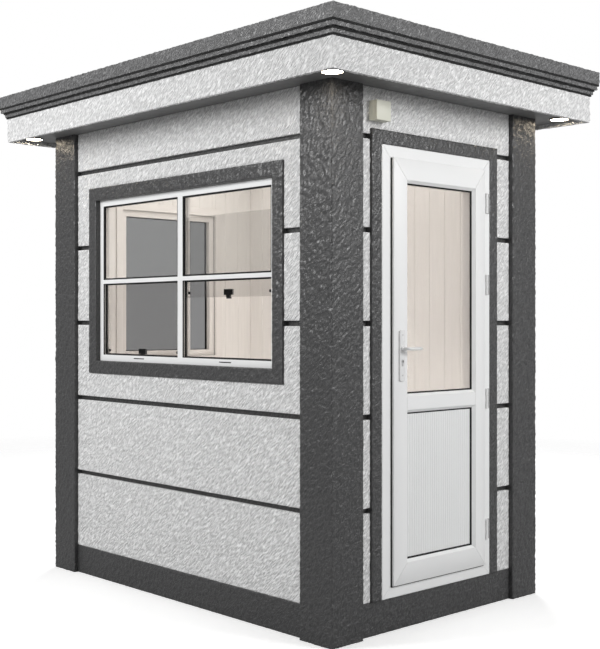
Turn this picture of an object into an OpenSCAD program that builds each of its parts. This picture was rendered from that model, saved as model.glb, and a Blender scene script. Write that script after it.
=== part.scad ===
// Modular guard cabin: plastered walls between corner posts, under a flat roof that overhangs
// all round, with a service window in front, a fixed window on the left and a door on the right.
// The origin is the centre of the footprint on the ground. Front is -Y, and the door wall is +X.
// Depths are measured inward from the outer face of the corner posts.

/* [Cabin] */
// Length over the corner posts, left to right
cabin_l = 2200; // [2150:10:3600]
// Width over the corner posts, front to back
cabin_w = 1500; // [1420:10:2600]
// Height of the soffit over the ground
soffit_z = 2440; // [2430:5:2800]
// Width of each face of a corner post
post_w = 200; // [120:5:220]
// Height of the skirting, and of the floor inside
skirt_h = 153; // [120:1:200]

/* [Wall build-up] */
// Depth of the cladding's face behind the posts' face
clad_set = 22; // [14:1:40]
// Thickness of the plastered cladding
clad_t = 20; // [12:1:30]
// Thickness of the insulated core
core_t = 50; // [40:1:80]
// Thickness of the lining boards inside
lining_t = 10; // [6:1:16]
// Height of the dark groove between two courses of cladding
groove_h = 20; // [8:1:40]
// Height of the lowest groove's middle
first_groove_z = 560; // [450:5:650]
// Distance from one groove to the next
course_pitch = 415; // [300:5:600]

/* [Floor] */
// Thickness of the floor deck
deck_t = 30; // [15:1:40]
// Clearance under the floor panel
floor_gap = 10; // [4:1:30]

/* [Roof] */
// Overhang of the fascia beyond the posts
fascia_over = 195; // [170:1:300]
// Thickness of the fascia boards
fascia_t = 20; // [12:1:30]
// Height of the fascia boards
fascia_h = 140; // [120:1:220]
// Drop of the fascia below the soffit
fascia_drop = 20; // [5:1:40]
// Thickness of the soffit and ceiling boards
soffit_t = 10; // [6:1:16]
// How far the cornice's lowest step stands out from the fascia
cornice_1_out = 11; // [4:1:30]
// How far the middle step stands out from the lowest one
cornice_2_out = 17; // [4:1:30]
// How far the top step stands out from the middle one
cornice_3_out = 7; // [3:1:30]
// Height of the lowest step
cornice_1_h = 25; // [10:1:60]
// Height of the middle step
cornice_2_h = 27; // [10:1:60]
// Height of the top step
cornice_3_h = 63; // [30:1:120]
// Depth of the parapet, from the fascia's face inward
parapet_t = 45; // [30:1:80]
// Depth of the roof deck below the top of the parapet
roof_recess = 60; // [20:1:90]

/* [Downlights] */
// Radius of a downlight over its rim
lamp_r = 50; // [30:1:60]
// Width of the rim
lamp_rim = 5; // [3:1:12]
// Height of the rim below the soffit
lamp_h = 6; // [4:1:12]
// Width and height of the rim's sloping edge
lamp_bevel = 2; // [1:0.5:3]
// Thickness of the lens
lens_t = 4; // [2:0.5:6]
// Distance of a lamp's middle from both post faces
lamp_out = 85; // [70:1:110]
// Clearance round a lens
lens_gap = 0.4; // [0.3:0.1:1]

/* [Windows] */
// Width of the front window's opening
front_win_w = 1416; // [1000:2:1500]
// Width of the left window's opening
left_win_w = 709; // [500:1:800]
// Height of the windows' openings
win_h = 872; // [760:2:1000]
// Height of the sills over the ground
sill_z = 1184; // [900:2:1250]
// Width of a window architrave
win_trim_w = 68; // [40:1:90]
// Depth of the architrave's face
win_trim_set = 12; // [4:1:20]
// Depth of the window frame's face
win_frame_set = 40; // [30:1:42]
// Thickness of the window frame, front to back
win_frame_t = 48; // [46:1:60]
// Width of the window frame's members
win_frame_w = 37; // [30:1:60]
// Width and depth of the slope round each light
win_bead = 5; // [2:1:8]
// Width of the mullion
mullion_w = 48; // [36:1:70]
// Thickness of the transom, front to back
transom_t = 22; // [20:1:24]
// Height of the transom
transom_h = 29; // [24:1:50]
// Height of the transom's lower edge over the opening's lower edge
transom_z = 414; // [360:1:480]
// Thickness of a fixed pane
pane_t = 4; // [3:1:6]
// Depth of a fixed pane behind the frame's face
pane_set = 14; // [12:1:15]
// How far a pane reaches into its frame
pane_bite = 8; // [4:1:12]
// Thickness of a sliding sash
sash_t = 5; // [4:1:6]
// Gap between the transom and the sashes
sash_gap = 4; // [2:1:6]
// Height of a sliding sash
sash_h = 400; // [390:1:430]
// How far the open sash is raised
sash_lift = 300; // [50:5:340]
// How far a closed sash sits into the lower rail
sash_seat = 5; // [2:1:8]
// Width of the window gaskets
gasket_w = 4; // [2:1:8]
// Depth of the gaskets, front to back
gasket_t = 10; // [4:1:11]
// Width of the trim round the windows inside
inner_trim_w = 45; // [20:1:70]
// Thickness of the trim inside
inner_trim_t = 8; // [4:1:14]

/* [Sash fittings] */
// Width of a latch
latch_w = 62; // [40:1:90]
// Height of a latch
latch_h = 28; // [16:1:40]
// Thickness of a latch
latch_t = 10; // [6:1:12]
// Width of a latch's tongue
tongue_w = 28; // [14:1:36]
// Reach of the tongue below the sash
tongue_drop = 8; // [4:1:10]
// Height of a latch over the sash's lower edge
latch_up = 10; // [6:1:20]
// Clearance round a tongue in the lower rail
tongue_gap = 0.5; // [0.3:0.1:1.5]
// Radius of a corner pin
pin_r = 7; // [4:1:10]
// Distance of a corner pin from the light's side, and from the sash's lower edge
pin_inset = 24; // [14:1:40]
// Thickness of a corner pin
pin_t = 6; // [3:1:10]
// Width of a drain slot
drain_w = 88; // [40:1:120]
// Height of a drain slot
drain_h = 5; // [3:1:8]
// Depth of a drain slot
drain_t = 3; // [2:1:6]

/* [Door opening] */
// Place of the door's middle along its wall, from the wall's middle towards the back
door_u = -24; // [-30:1:30]
// Width over the door frame
door_w = 792; // [700:1:850]
// Height over the door frame
door_h = 2039; // [1950:1:2100]
// Width of the door architrave
door_trim_w = 64; // [40:1:64]
// Depth of the architrave's face
door_trim_set = 10; // [4:1:20]
// Width of the door frame's members
door_frame_w = 65; // [60:1:80]
// Thickness of the door frame, front to back
door_frame_t = 65; // [50:1:80]

/* [Door leaf] */
// Width of frame that shows round the closed leaf
leaf_margin = 54; // [50:1:56]
// How far the closed leaf's lip stands off the frame
leaf_gap = 5; // [5:1:8]
// Thickness of the leaf's lip
lip_t = 10; // [6:1:14]
// Thickness of the leaf behind its lip
leaf_body_t = 55; // [45:1:60]
// Clearance between the leaf and the frame's opening
leaf_clear = 9; // [8:1:12]
// Width of the stiles
stile_w = 86; // [80:1:110]
// Height of the top and bottom rails
rail_w = 96; // [80:1:130]
// Height of the middle rail
mid_rail_w = 60; // [40:1:120]
// Height of the middle rail's lower edge over the leaf's lower edge
mid_rail_z = 789; // [600:1:1000]
// Width and depth of the sloping glazing bead
bead = 16; // [8:1:20]
// Thickness of the leaf's gaskets
leaf_gasket_t = 4; // [2:1:6]
// Width of the leaf's gaskets
leaf_gasket_w = 5; // [3:1:8]
// Thickness of the leaf's glass
leaf_glass_t = 5; // [4:1:8]
// Thickness of the leaf's lower panel
leaf_panel_t = 24; // [16:1:28]
// How far glass and panel reach into the leaf's frame
leaf_bite = 10; // [5:1:14]
// Distance between the panel's grooves
reed_pitch = 16; // [12:1:40]
// Width of the panel's grooves, which are half as deep
reed_w = 5; // [3:1:8]

/* [Door hinges] */
// Radius of a hinge's knuckles
knuckle_r = 8; // [7:0.5:10]
// Radius of the hinge pin
hinge_pin_r = 4; // [3:0.5:5]
// Clearance round the pin
hinge_clear = 0.3; // [0.2:0.1:0.6]
// Height of a hinge
hinge_h = 97; // [60:1:130]
// Gap between two knuckles
knuckle_gap = 1; // [0.5:0.5:3]
// Gap between the leaf's edge and the knuckles
hinge_edge_gap = 1; // [1:0.5:3]
// Width of the hinge plate on the frame
hinge_plate_w = 34; // [20:1:36]
// Thickness of the hinge plate
hinge_plate_t = 4; // [3:1:5]
// Height of the lowest hinge's middle over the leaf's lower edge
hinge_1_z = 173; // [120:1:300]
// Height of the second hinge's middle
hinge_2_z = 813; // [500:1:900]
// Height of the third hinge's middle
hinge_3_z = 1371; // [1100:1:1500]
// Height of the top hinge's middle
hinge_4_z = 1769; // [1650:1:1800]

/* [Door handle] */
// Distance of the handle's spindle from the leaf's edge
handle_in = 60; // [52:1:64]
// Height of the spindle over the leaf's lower edge
handle_z = 1068; // [900:1:1150]
// Width of a handle plate
plate_w = 35; // [28:1:40]
// Height of a handle plate
plate_h = 230; // [180:1:260]
// Thickness of a handle plate
plate_t = 8; // [5:1:12]
// Height of the spindle over the plate's middle
plate_up = 30; // [0:1:50]
// Radius of the plate's corners
plate_corner_r = 8; // [4:1:14]
// Radius of the spindle
spindle_r = 4; // [3:0.5:5]
// Clearance round the spindle
spindle_clear = 0.3; // [0.2:0.1:0.6]
// Radius of the collar where a lever meets its plate
collar_r = 12; // [10:0.5:16]
// Thickness of the collar
collar_t = 8; // [4:1:12]
// Gap between a collar and its plate
collar_gap = 0.5; // [0.3:0.1:1]
// Distance from a plate to the lever's bar
lever_off = 32; // [30:1:45]
// Length of the lever, from the spindle to its end
lever_l = 128; // [100:1:150]
// Radius of the lever's round bar
lever_r = 9; // [7:0.5:10]
// Radius of the lever's bend, along its middle
bend_r = 18; // [14:1:24]

/* [Door lock] */
// Distance of the lock cylinder below the spindle
lock_down = 57; // [50:1:92]
// Radius of the lock cylinder's round part
lock_r = 8.5; // [7:0.5:9]
// Width of the lock cylinder's tail
lock_tail_w = 10; // [7:0.5:12]
// Length of the tail below the round part's middle
lock_tail_l = 21; // [16:1:24]
// How far the lock cylinder stands out of its plates
lock_out = 2; // [0:0.5:4]
// Clearance round the lock cylinder
lock_clear = 0.3; // [0.2:0.1:0.6]

/* [Junction box] */
// Width of the junction box
jbox_w = 93; // [60:1:110]
// Height of the junction box
jbox_h = 88; // [60:1:110]
// Depth of the junction box, from the cladding outward
jbox_t = 48; // [30:1:70]
// Gap between the box and the door architrave below it
jbox_up = 32; // [10:1:40]
// How far the box reaches past the architrave's outer edge
jbox_past = 10; // [0:1:20]
// Thickness of the box's lid
jbox_lid_t = 10; // [6:1:16]
// Width and depth of the line between box and lid
jbox_line = 1.5; // [1:0.5:3]

/* [Hidden] */
$fn = 48;
cut = 1;

// Depths of the wall's layers
core_d = clad_set + clad_t;
lining_d = core_d + core_t;
room_d = lining_d + lining_t;

// Courses of cladding
groove_count = floor((soffit_z - first_groove_z - groove_h) / course_pitch) + 1;
groove_z = [for (k = [0 : groove_count - 1]) first_groove_z + k * course_pitch];
course_lo = concat([skirt_h], [for (z = groove_z) z + groove_h / 2]);
course_hi = concat([for (z = groove_z) z - groove_h / 2], [soffit_z]);

// Roof levels, and how far out each piece reaches
fascia_lo = soffit_z - fascia_drop;
fascia_hi = fascia_lo + fascia_h;
roof_under = soffit_z + soffit_t;
panel_over = fascia_over - fascia_t;
step_1_over = fascia_over + cornice_1_out;
step_2_over = step_1_over + cornice_2_out;
step_3_over = step_2_over + cornice_3_out;
step_1_z = fascia_hi + cornice_1_h;
step_2_z = step_1_z + cornice_2_h;
step_3_z = step_2_z + cornice_3_h;
parapet_in = fascia_over - parapet_t;

// Windows: openings, lights, panes and sashes
win_hi = sill_z + win_h;
win_back_d = win_frame_set + win_frame_t;
light_lo = sill_z + win_frame_w;
light_hi = win_hi - win_frame_w;
bar_lo = sill_z + transom_z;
bar_hi = bar_lo + transom_h;
light_in = mullion_w / 2;
light_out = front_win_w / 2 - win_frame_w;
pane_d = win_frame_set + pane_set;
sash_d = win_frame_set + transom_t + sash_gap;
sash_lo = light_lo - sash_seat;
left_light = left_win_w / 2 - win_frame_w;
fitting_d = sash_d + sash_t;
light_mid = (light_in + light_out) / 2;

// Door: frame, leaf, and the depths of the leaf's layers
door_hi = skirt_h + door_h;
door_lo_u = door_u - door_w / 2;
door_hi_u = door_u + door_w / 2;
leaf_lo_u = door_lo_u + leaf_margin;
leaf_hi_u = door_hi_u - leaf_margin;
leaf_lo = skirt_h + leaf_margin;
leaf_hi = door_hi - leaf_margin;
lip_back_d = door_trim_set - leaf_gap;
leaf_face_d = lip_back_d - lip_t;
leaf_back_d = lip_back_d + leaf_body_t;
leaf_body_in = door_frame_w + leaf_clear;
infill_lo_u = leaf_lo_u + stile_w + bead;
infill_hi_u = leaf_hi_u - stile_w - bead;
panel_lo = leaf_lo + rail_w + bead;
panel_hi = leaf_lo + mid_rail_z - bead;
glass_lo = leaf_lo + mid_rail_z + mid_rail_w + bead;
glass_hi = leaf_hi - rail_w - bead;
bead_d = leaf_face_d + bead;
infill_d = bead_d + leaf_gasket_t;

// Hinges and handle
hinge_u = leaf_hi_u + knuckle_r + hinge_edge_gap;
hinge_d = leaf_face_d - hinge_edge_gap;
knuckle_h = (hinge_h - 2 * knuckle_gap) / 3;
hinge_zs = [for (z = [hinge_1_z, hinge_2_z, hinge_3_z, hinge_4_z]) leaf_lo + z];
handle_u = leaf_lo_u + handle_in;
spindle_z = leaf_lo + handle_z;
plate_out_d = leaf_face_d - plate_t;
plate_in_d = leaf_back_d + plate_t;

// Junction box
jbox_lo_u = door_lo_u - door_trim_w - jbox_past;
jbox_lo = door_hi + door_trim_w + jbox_up;

// Each side of the cabin is drawn in its own frame: u runs along the wall, to the right as seen
// from outside, y is the depth inward from the posts' face, and z is up.
module front_side() { translate([0, -cabin_w / 2, 0]) children(); }
module right_side() { translate([cabin_l / 2, 0, 0]) rotate([0, 0, 90]) children(); }
module back_side() { translate([0, cabin_w / 2, 0]) rotate([0, 0, 180]) children(); }
module left_side() { translate([-cabin_l / 2, 0, 0]) rotate([0, 0, -90]) children(); }

// A block between two values of u, depth and height
module slab(u, d, z) {
    translate([u[0], d[0], z[0]])
        cube([u[1] - u[0], d[1] - d[0], z[1] - z[0]]);
}

// A level plate that ends at one depth on all four sides
module plate_within(d, z) {
    translate([-cabin_l / 2 + d, -cabin_w / 2 + d, z[0]])
        cube([cabin_l - 2 * d, cabin_w - 2 * d, z[1] - z[0]]);
}

// A level ring between an outer and an inner depth
module ring_within(d_out, d_in, z) {
    difference() {
        plate_within(d_out, z);
        plate_within(d_in, [z[0] - cut, z[1] + cut]);
    }
}

// An upright frame: outer limits, member width, and depth
module frame_ring(u, d, z, w) {
    difference() {
        slab(u, d, z);
        slab([u[0] + w, u[1] - w], [d[0] - cut, d[1] + cut], [z[0] + w, z[1] - w]);
    }
}

// A bar along one side with mitred ends, from a section of points [reach outward, height]
module mitred_bar(length, section, over_in, over_out, z) {
    half_in = length / 2 + over_in;
    half_out = length / 2 + over_out;
    intersection() {
        translate([-half_out - cut, 0, 0])
            rotate([90, 0, 90])
                linear_extrude(2 * (half_out + cut))
                    polygon([for (p = section) [-p[0], p[1]]]);
        translate([0, 0, z[0] - cut])
            linear_extrude(z[1] - z[0] + 2 * cut)
                polygon([
                    [-half_out, -over_out], [half_out, -over_out],
                    [half_in, -over_in], [-half_in, -over_in]
                ]);
    }
}

// A cut right through a profile, with edges that slope inward from its face as a glazing bead does
module beaded_cut(u, d, z, size) {
    face_d = d[0] - cut;
    deep_d = d[0] + size;
    back_d = d[1] + cut;
    slope = size + cut;
    intersection() {
        translate([0, 0, z[0] - slope])
            linear_extrude(z[1] - z[0] + 2 * slope)
                polygon([
                    [u[0] - slope, face_d], [u[1] + slope, face_d],
                    [u[1], deep_d], [u[1], back_d],
                    [u[0], back_d], [u[0], deep_d]
                ]);
        translate([u[0] - slope, 0, 0])
            rotate([90, 0, 90])
                linear_extrude(u[1] - u[0] + 2 * slope)
                    polygon([
                        [face_d, z[0] - slope], [face_d, z[1] + slope],
                        [deep_d, z[1]], [back_d, z[1]],
                        [back_d, z[0]], [deep_d, z[0]]
                    ]);
    }
}

// A cylinder that runs inward from one depth to another
module rod(u, z, d, r) {
    translate([u, d[0], z])
        rotate([-90, 0, 0])
            cylinder(h = d[1] - d[0], r = r);
}

// Floor and base
module base_frame() {
    color("dimgray") ring_within(core_d, lining_d, [0, skirt_h]);
}

module floor_panel() {
    color("gray") plate_within(lining_d, [floor_gap, skirt_h - deck_t]);
}

module floor_deck() {
    color("tan") plate_within(lining_d, [skirt_h - deck_t, skirt_h]);
}

module skirting_board(length) {
    half = length / 2 - post_w;
    slab([-half, half], [clad_set, core_d], [0, skirt_h]);
}

module skirting() {
    color("#4b4b4b") {
        front_side() skirting_board(cabin_l);
        back_side() skirting_board(cabin_l);
        left_side() skirting_board(cabin_w);
        right_side() skirting_board(cabin_w);
    }
}

// Corner posts: an angle of two casings round the corner of the walls
module corner_post(side_x, side_y) {
    x = cabin_l / 2;
    y = cabin_w / 2;
    outline = [
        [x, y], [x - post_w, y], [x - post_w, y - core_d],
        [x - core_d, y - core_d], [x - core_d, y - post_w], [x, y - post_w]
    ];
    color("#4b4b4b")
        linear_extrude(soffit_z)
            polygon([for (p = outline) [side_x * p[0], side_y * p[1]]]);
}

module post_front_left() { corner_post(-1, -1); }
module post_front_right() { corner_post(1, -1); }
module post_back_left() { corner_post(-1, 1); }
module post_back_right() { corner_post(1, 1); }

// Openings in the walls, cut through whatever layer is given
module front_window_hole(extra) {
    half = front_win_w / 2 + extra;
    slab([-half, half], [-cut, room_d + cut], [sill_z - extra, win_hi + extra]);
}

module left_window_hole(extra) {
    half = left_win_w / 2 + extra;
    slab([-half, half], [-cut, room_d + cut], [sill_z - extra, win_hi + extra]);
}

module door_hole(extra) {
    slab([door_lo_u - extra, door_hi_u + extra], [-cut, room_d + cut], [skirt_h - cut, door_hi + extra]);
}

// Wall cores
module core(half) {
    slab([-half, half], [core_d, lining_d], [skirt_h, soffit_z]);
}

module front_wall() {
    color("#2b2b2b") front_side() difference() {
        core(cabin_l / 2 - core_d);
        front_window_hole(0);
    }
}

module back_wall() {
    color("#2b2b2b") back_side() core(cabin_l / 2 - core_d);
}

module left_wall() {
    color("#2b2b2b") left_side() difference() {
        core(cabin_w / 2 - lining_d);
        left_window_hole(0);
    }
}

module right_wall_near() {
    color("#2b2b2b") right_side()
        slab([-cabin_w / 2 + lining_d, door_lo_u], [core_d, lining_d], [skirt_h, soffit_z]);
}

module right_wall_far() {
    color("#2b2b2b") right_side()
        slab([door_hi_u, cabin_w / 2 - lining_d], [core_d, lining_d], [skirt_h, soffit_z]);
}

module right_wall_over() {
    color("#2b2b2b") right_side()
        slab([door_lo_u, door_hi_u], [core_d, lining_d], [door_hi, soffit_z]);
}

// Cladding: one board for each course, with a dark groove between them
module courses(length) {
    half = length / 2 - post_w;
    for (k = [0 : groove_count])
        slab([-half, half], [clad_set, core_d], [course_lo[k], course_hi[k]]);
}

module front_cladding() {
    color("gainsboro") front_side() difference() {
        courses(cabin_l);
        front_window_hole(win_trim_w);
    }
}

module back_cladding() {
    color("gainsboro") back_side() courses(cabin_l);
}

module left_cladding() {
    color("gainsboro") left_side() difference() {
        courses(cabin_w);
        left_window_hole(win_trim_w);
    }
}

module right_cladding() {
    color("gainsboro") right_side() difference() {
        courses(cabin_w);
        door_hole(door_trim_w);
    }
}

// Linings
module lining(half) {
    slab([-half, half], [lining_d, room_d], [skirt_h, soffit_z]);
}

module long_linings() {
    color("linen") {
        front_side() difference() {
            lining(cabin_l / 2 - lining_d);
            front_window_hole(0);
        }
        back_side() lining(cabin_l / 2 - lining_d);
    }
}

module short_linings() {
    color("linen") {
        left_side() difference() {
            lining(cabin_w / 2 - room_d);
            left_window_hole(0);
        }
        right_side() difference() {
            lining(cabin_w / 2 - room_d);
            door_hole(0);
        }
    }
}

module ceiling() {
    color("linen") plate_within(core_d, [soffit_z, roof_under]);
}

// Roof
module soffit() {
    color("dimgray") ring_within(-panel_over, core_d, [soffit_z, roof_under]);
}

module fascia_board(length) {
    section = [
        [panel_over, fascia_lo], [fascia_over, fascia_lo],
        [fascia_over, fascia_hi], [panel_over, fascia_hi]
    ];
    mitred_bar(length, section, panel_over, fascia_over, [fascia_lo, fascia_hi]);
}

module fascia_long() {
    color("gainsboro") {
        front_side() fascia_board(cabin_l);
        back_side() fascia_board(cabin_l);
    }
}

module fascia_short() {
    color("gainsboro") {
        left_side() fascia_board(cabin_w);
        right_side() fascia_board(cabin_w);
    }
}

module cornice_bar(length) {
    section = [
        [parapet_in, fascia_hi], [step_1_over, fascia_hi],
        [step_1_over, step_1_z], [step_2_over, step_1_z],
        [step_2_over, step_2_z], [step_3_over, step_2_z],
        [step_3_over, step_3_z], [parapet_in, step_3_z]
    ];
    mitred_bar(length, section, parapet_in, step_3_over, [fascia_hi, step_3_z]);
}

module cornice_long() {
    color("#4b4b4b") {
        front_side() cornice_bar(cabin_l);
        back_side() cornice_bar(cabin_l);
    }
}

module cornice_short() {
    color("#4b4b4b") {
        left_side() cornice_bar(cabin_w);
        right_side() cornice_bar(cabin_w);
    }
}

module roof_panel() {
    color("silver") plate_within(-panel_over, [roof_under, fascia_hi]);
}

module roof_deck() {
    color("gray") plate_within(-parapet_in, [fascia_hi, step_3_z - roof_recess]);
}

// Downlights at the four corners of the soffit
module at_lamps() {
    for (side_x = [-1, 1], side_y = [-1, 1])
        translate([side_x * (cabin_l / 2 + lamp_out), side_y * (cabin_w / 2 + lamp_out), soffit_z - lamp_h])
            children();
}

module downlight_rims() {
    inner_r = lamp_r - lamp_rim;
    color("black") at_lamps()
        rotate_extrude()
            polygon([
                [inner_r, 0], [lamp_r - lamp_bevel, 0], [lamp_r, lamp_bevel],
                [lamp_r, lamp_h], [inner_r, lamp_h]
            ]);
}

module downlight_lenses() {
    color("white") at_lamps()
        translate([0, 0, lamp_h - lens_t])
            cylinder(h = lens_t, r = lamp_r - lamp_rim - lens_gap);
}

// Windows
module window_architrave(width) {
    half = width / 2 + win_trim_w;
    frame_ring([-half, half], [win_trim_set, core_d], [sill_z - win_trim_w, win_hi + win_trim_w], win_trim_w);
}

module window_architraves() {
    color("#4b4b4b") {
        front_side() window_architrave(front_win_w);
        left_side() window_architrave(left_win_w);
    }
}

module inner_trim(width) {
    half = width / 2 + inner_trim_w;
    frame_ring(
        [-half, half], [room_d, room_d + inner_trim_t],
        [sill_z - inner_trim_w, win_hi + inner_trim_w], inner_trim_w
    );
}

module window_inner_trims() {
    color("linen") {
        front_side() inner_trim(front_win_w);
        left_side() inner_trim(left_win_w);
    }
}

// A frame before its lights are cut
module window_blank(width) {
    slab([-width / 2, width / 2], [win_frame_set, win_back_d], [sill_z, win_hi]);
}

// The left and right halves of the front window
module both_halves() {
    children();
    mirror([1, 0, 0]) children();
}

module fixed_pane() {
    slab(
        [light_in - pane_bite, light_out + pane_bite], [pane_d, pane_d + pane_t],
        [bar_hi - pane_bite, light_hi + pane_bite]
    );
}

module sash(lift) {
    slab(
        [light_in - pane_bite, light_out + pane_bite], [sash_d, sash_d + sash_t],
        [sash_lo + lift, sash_lo + lift + sash_h]
    );
}

// The track that a sash slides in, from the lower rail to the head
module sash_track() {
    slab(
        [light_in - pane_bite, light_out + pane_bite], [sash_d, sash_d + sash_t],
        [sash_lo, light_hi + pane_bite]
    );
}

module tongue_pocket() {
    half = tongue_w / 2 + tongue_gap;
    slab(
        [light_mid - half, light_mid + half], [fitting_d, fitting_d + latch_t + tongue_gap],
        [sash_lo - tongue_drop - tongue_gap, light_lo + cut]
    );
}

module drain_slot() {
    mid_z = sill_z + win_frame_w / 2;
    slab(
        [light_mid - drain_w / 2, light_mid + drain_w / 2], [win_frame_set - cut, win_frame_set + drain_t],
        [mid_z - drain_h / 2, mid_z + drain_h / 2]
    );
}

// An upper light, a lower light, and the room behind the shallow transom
module half_lights() {
    u = [light_in, light_out];
    beaded_cut(u, [win_frame_set, win_back_d], [bar_hi, light_hi], win_bead);
    beaded_cut(u, [win_frame_set, win_back_d], [light_lo, bar_lo], win_bead);
    slab(u, [win_frame_set + transom_t, win_back_d + cut], [light_lo, light_hi]);
}

module front_window_frame() {
    color("whitesmoke") front_side() difference() {
        window_blank(front_win_w);
        both_halves() {
            half_lights();
            fixed_pane();
            sash_track();
            tongue_pocket();
            drain_slot();
        }
    }
}

module front_window_panes() {
    color("lightcyan") front_side() both_halves() fixed_pane();
}

// The left sash is closed and the right one is raised
module front_window_sashes() {
    color("lightgray") front_side() {
        sash(sash_lift);
        mirror([1, 0, 0]) sash(0);
    }
}

module sash_fitting(lift) {
    low = sash_lo + lift;
    back_d = fitting_d + latch_t;
    slab(
        [light_mid - latch_w / 2, light_mid + latch_w / 2], [fitting_d, back_d],
        [low + latch_up, low + latch_up + latch_h]
    );
    slab(
        [light_mid - tongue_w / 2, light_mid + tongue_w / 2], [fitting_d, back_d],
        [low - tongue_drop, low + latch_up + cut]
    );
    for (u = [light_in + pin_inset, light_out - pin_inset])
        rod(u, low + pin_inset, [fitting_d, fitting_d + pin_t], pin_r);
}

module sash_fittings() {
    color("black") front_side() {
        sash_fitting(sash_lift);
        mirror([1, 0, 0]) sash_fitting(0);
    }
}

// Gaskets lie against the fixed panes, and in front of the sashes
module window_gaskets() {
    sash_gasket_d = [sash_d - sash_gap - gasket_t, sash_d - sash_gap];
    pane_gasket_d = [pane_d - gasket_t, pane_d];
    color("black") {
        front_side() both_halves() {
            frame_ring([light_in, light_out], pane_gasket_d, [bar_hi, light_hi], gasket_w);
            frame_ring([light_in, light_out], sash_gasket_d, [light_lo, bar_lo], gasket_w);
        }
        left_side() frame_ring([-left_light, left_light], pane_gasket_d, [light_lo, light_hi], gasket_w);
    }
}

module left_pane() {
    half = left_light + pane_bite;
    slab([-half, half], [pane_d, pane_d + pane_t], [light_lo - pane_bite, light_hi + pane_bite]);
}

module left_window_frame() {
    color("whitesmoke") left_side() difference() {
        window_blank(left_win_w);
        beaded_cut([-left_light, left_light], [win_frame_set, win_back_d], [light_lo, light_hi], win_bead);
        left_pane();
    }
}

module left_window_pane() {
    color("slategray") left_side() left_pane();
}

// Door opening
module door_architrave() {
    color("#4b4b4b") right_side() difference() {
        slab(
            [door_lo_u - door_trim_w, door_hi_u + door_trim_w], [door_trim_set, core_d],
            [skirt_h, door_hi + door_trim_w]
        );
        door_hole(0);
    }
}

module door_frame() {
    color("whitesmoke") right_side()
        frame_ring(
            [door_lo_u, door_hi_u], [door_trim_set, door_trim_set + door_frame_t],
            [skirt_h, door_hi], door_frame_w
        );
}

// Door leaf: a lip that covers the frame's edge, and a body that fits inside the frame
module leaf_glass_sheet() {
    slab(
        [infill_lo_u - leaf_bite, infill_hi_u + leaf_bite], [infill_d, infill_d + leaf_glass_t],
        [glass_lo - leaf_bite, glass_hi + leaf_bite]
    );
}

module leaf_panel_sheet() {
    slab(
        [infill_lo_u - leaf_bite, infill_hi_u + leaf_bite], [infill_d, infill_d + leaf_panel_t],
        [panel_lo - leaf_bite, panel_hi + leaf_bite]
    );
}

module spindle_bore() {
    rod(handle_u, spindle_z, [plate_out_d - cut, plate_in_d + cut], spindle_r + spindle_clear);
}

// The lock cylinder's keyhole-shaped section, grown by a clearance, between two depths
module lock_section(d, grow) {
    tail_r = lock_tail_w / 2 + grow;
    translate([handle_u, d[1], spindle_z - lock_down])
        rotate([90, 0, 0])
            linear_extrude(d[1] - d[0]) {
                circle(lock_r + grow);
                translate([-tail_r, -lock_tail_l + lock_tail_w / 2])
                    square([2 * tail_r, lock_tail_l - lock_tail_w / 2]);
                translate([0, -lock_tail_l + lock_tail_w / 2]) circle(tail_r);
            }
}

module lock_hole() {
    lock_section([plate_out_d - cut, plate_in_d + cut], lock_clear);
}

module leaf_frame() {
    color("whitesmoke") right_side() difference() {
        union() {
            slab([leaf_lo_u, leaf_hi_u], [leaf_face_d, lip_back_d], [leaf_lo, leaf_hi]);
            slab(
                [door_lo_u + leaf_body_in, door_hi_u - leaf_body_in], [lip_back_d - cut, leaf_back_d],
                [skirt_h + leaf_body_in, door_hi - leaf_body_in]
            );
        }
        beaded_cut([infill_lo_u, infill_hi_u], [leaf_face_d, leaf_back_d], [glass_lo, glass_hi], bead);
        beaded_cut([infill_lo_u, infill_hi_u], [leaf_face_d, leaf_back_d], [panel_lo, panel_hi], bead);
        leaf_glass_sheet();
        leaf_panel_sheet();
        spindle_bore();
        lock_hole();
    }
}

module leaf_glass() {
    color("lightcyan") right_side() leaf_glass_sheet();
}

// The lower panel has upright V grooves across its width
module leaf_panel() {
    reed_count = floor((infill_hi_u - infill_lo_u - 2 * leaf_gasket_w) / reed_pitch) - 1;
    mid_u = (infill_lo_u + infill_hi_u) / 2;
    color("whitesmoke") right_side() difference() {
        leaf_panel_sheet();
        for (k = [0 : reed_count])
            translate([mid_u + (k - reed_count / 2) * reed_pitch, infill_d, panel_lo - leaf_bite - cut])
                linear_extrude(panel_hi - panel_lo + 2 * leaf_bite + 2 * cut)
                    polygon([
                        [-reed_w / 2 - cut, -cut], [reed_w / 2 + cut, -cut], [0, reed_w / 2]
                    ]);
    }
}

module leaf_gaskets() {
    color("black") right_side() {
        frame_ring([infill_lo_u, infill_hi_u], [bead_d, infill_d], [glass_lo, glass_hi], leaf_gasket_w);
        frame_ring([infill_lo_u, infill_hi_u], [bead_d, infill_d], [panel_lo, panel_hi], leaf_gasket_w);
    }
}

// Hinges: the frame's half has the outer knuckles and the pin, the leaf's half the middle one
module at_hinges() {
    for (z = hinge_zs)
        translate([hinge_u, hinge_d, z]) children();
}

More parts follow.
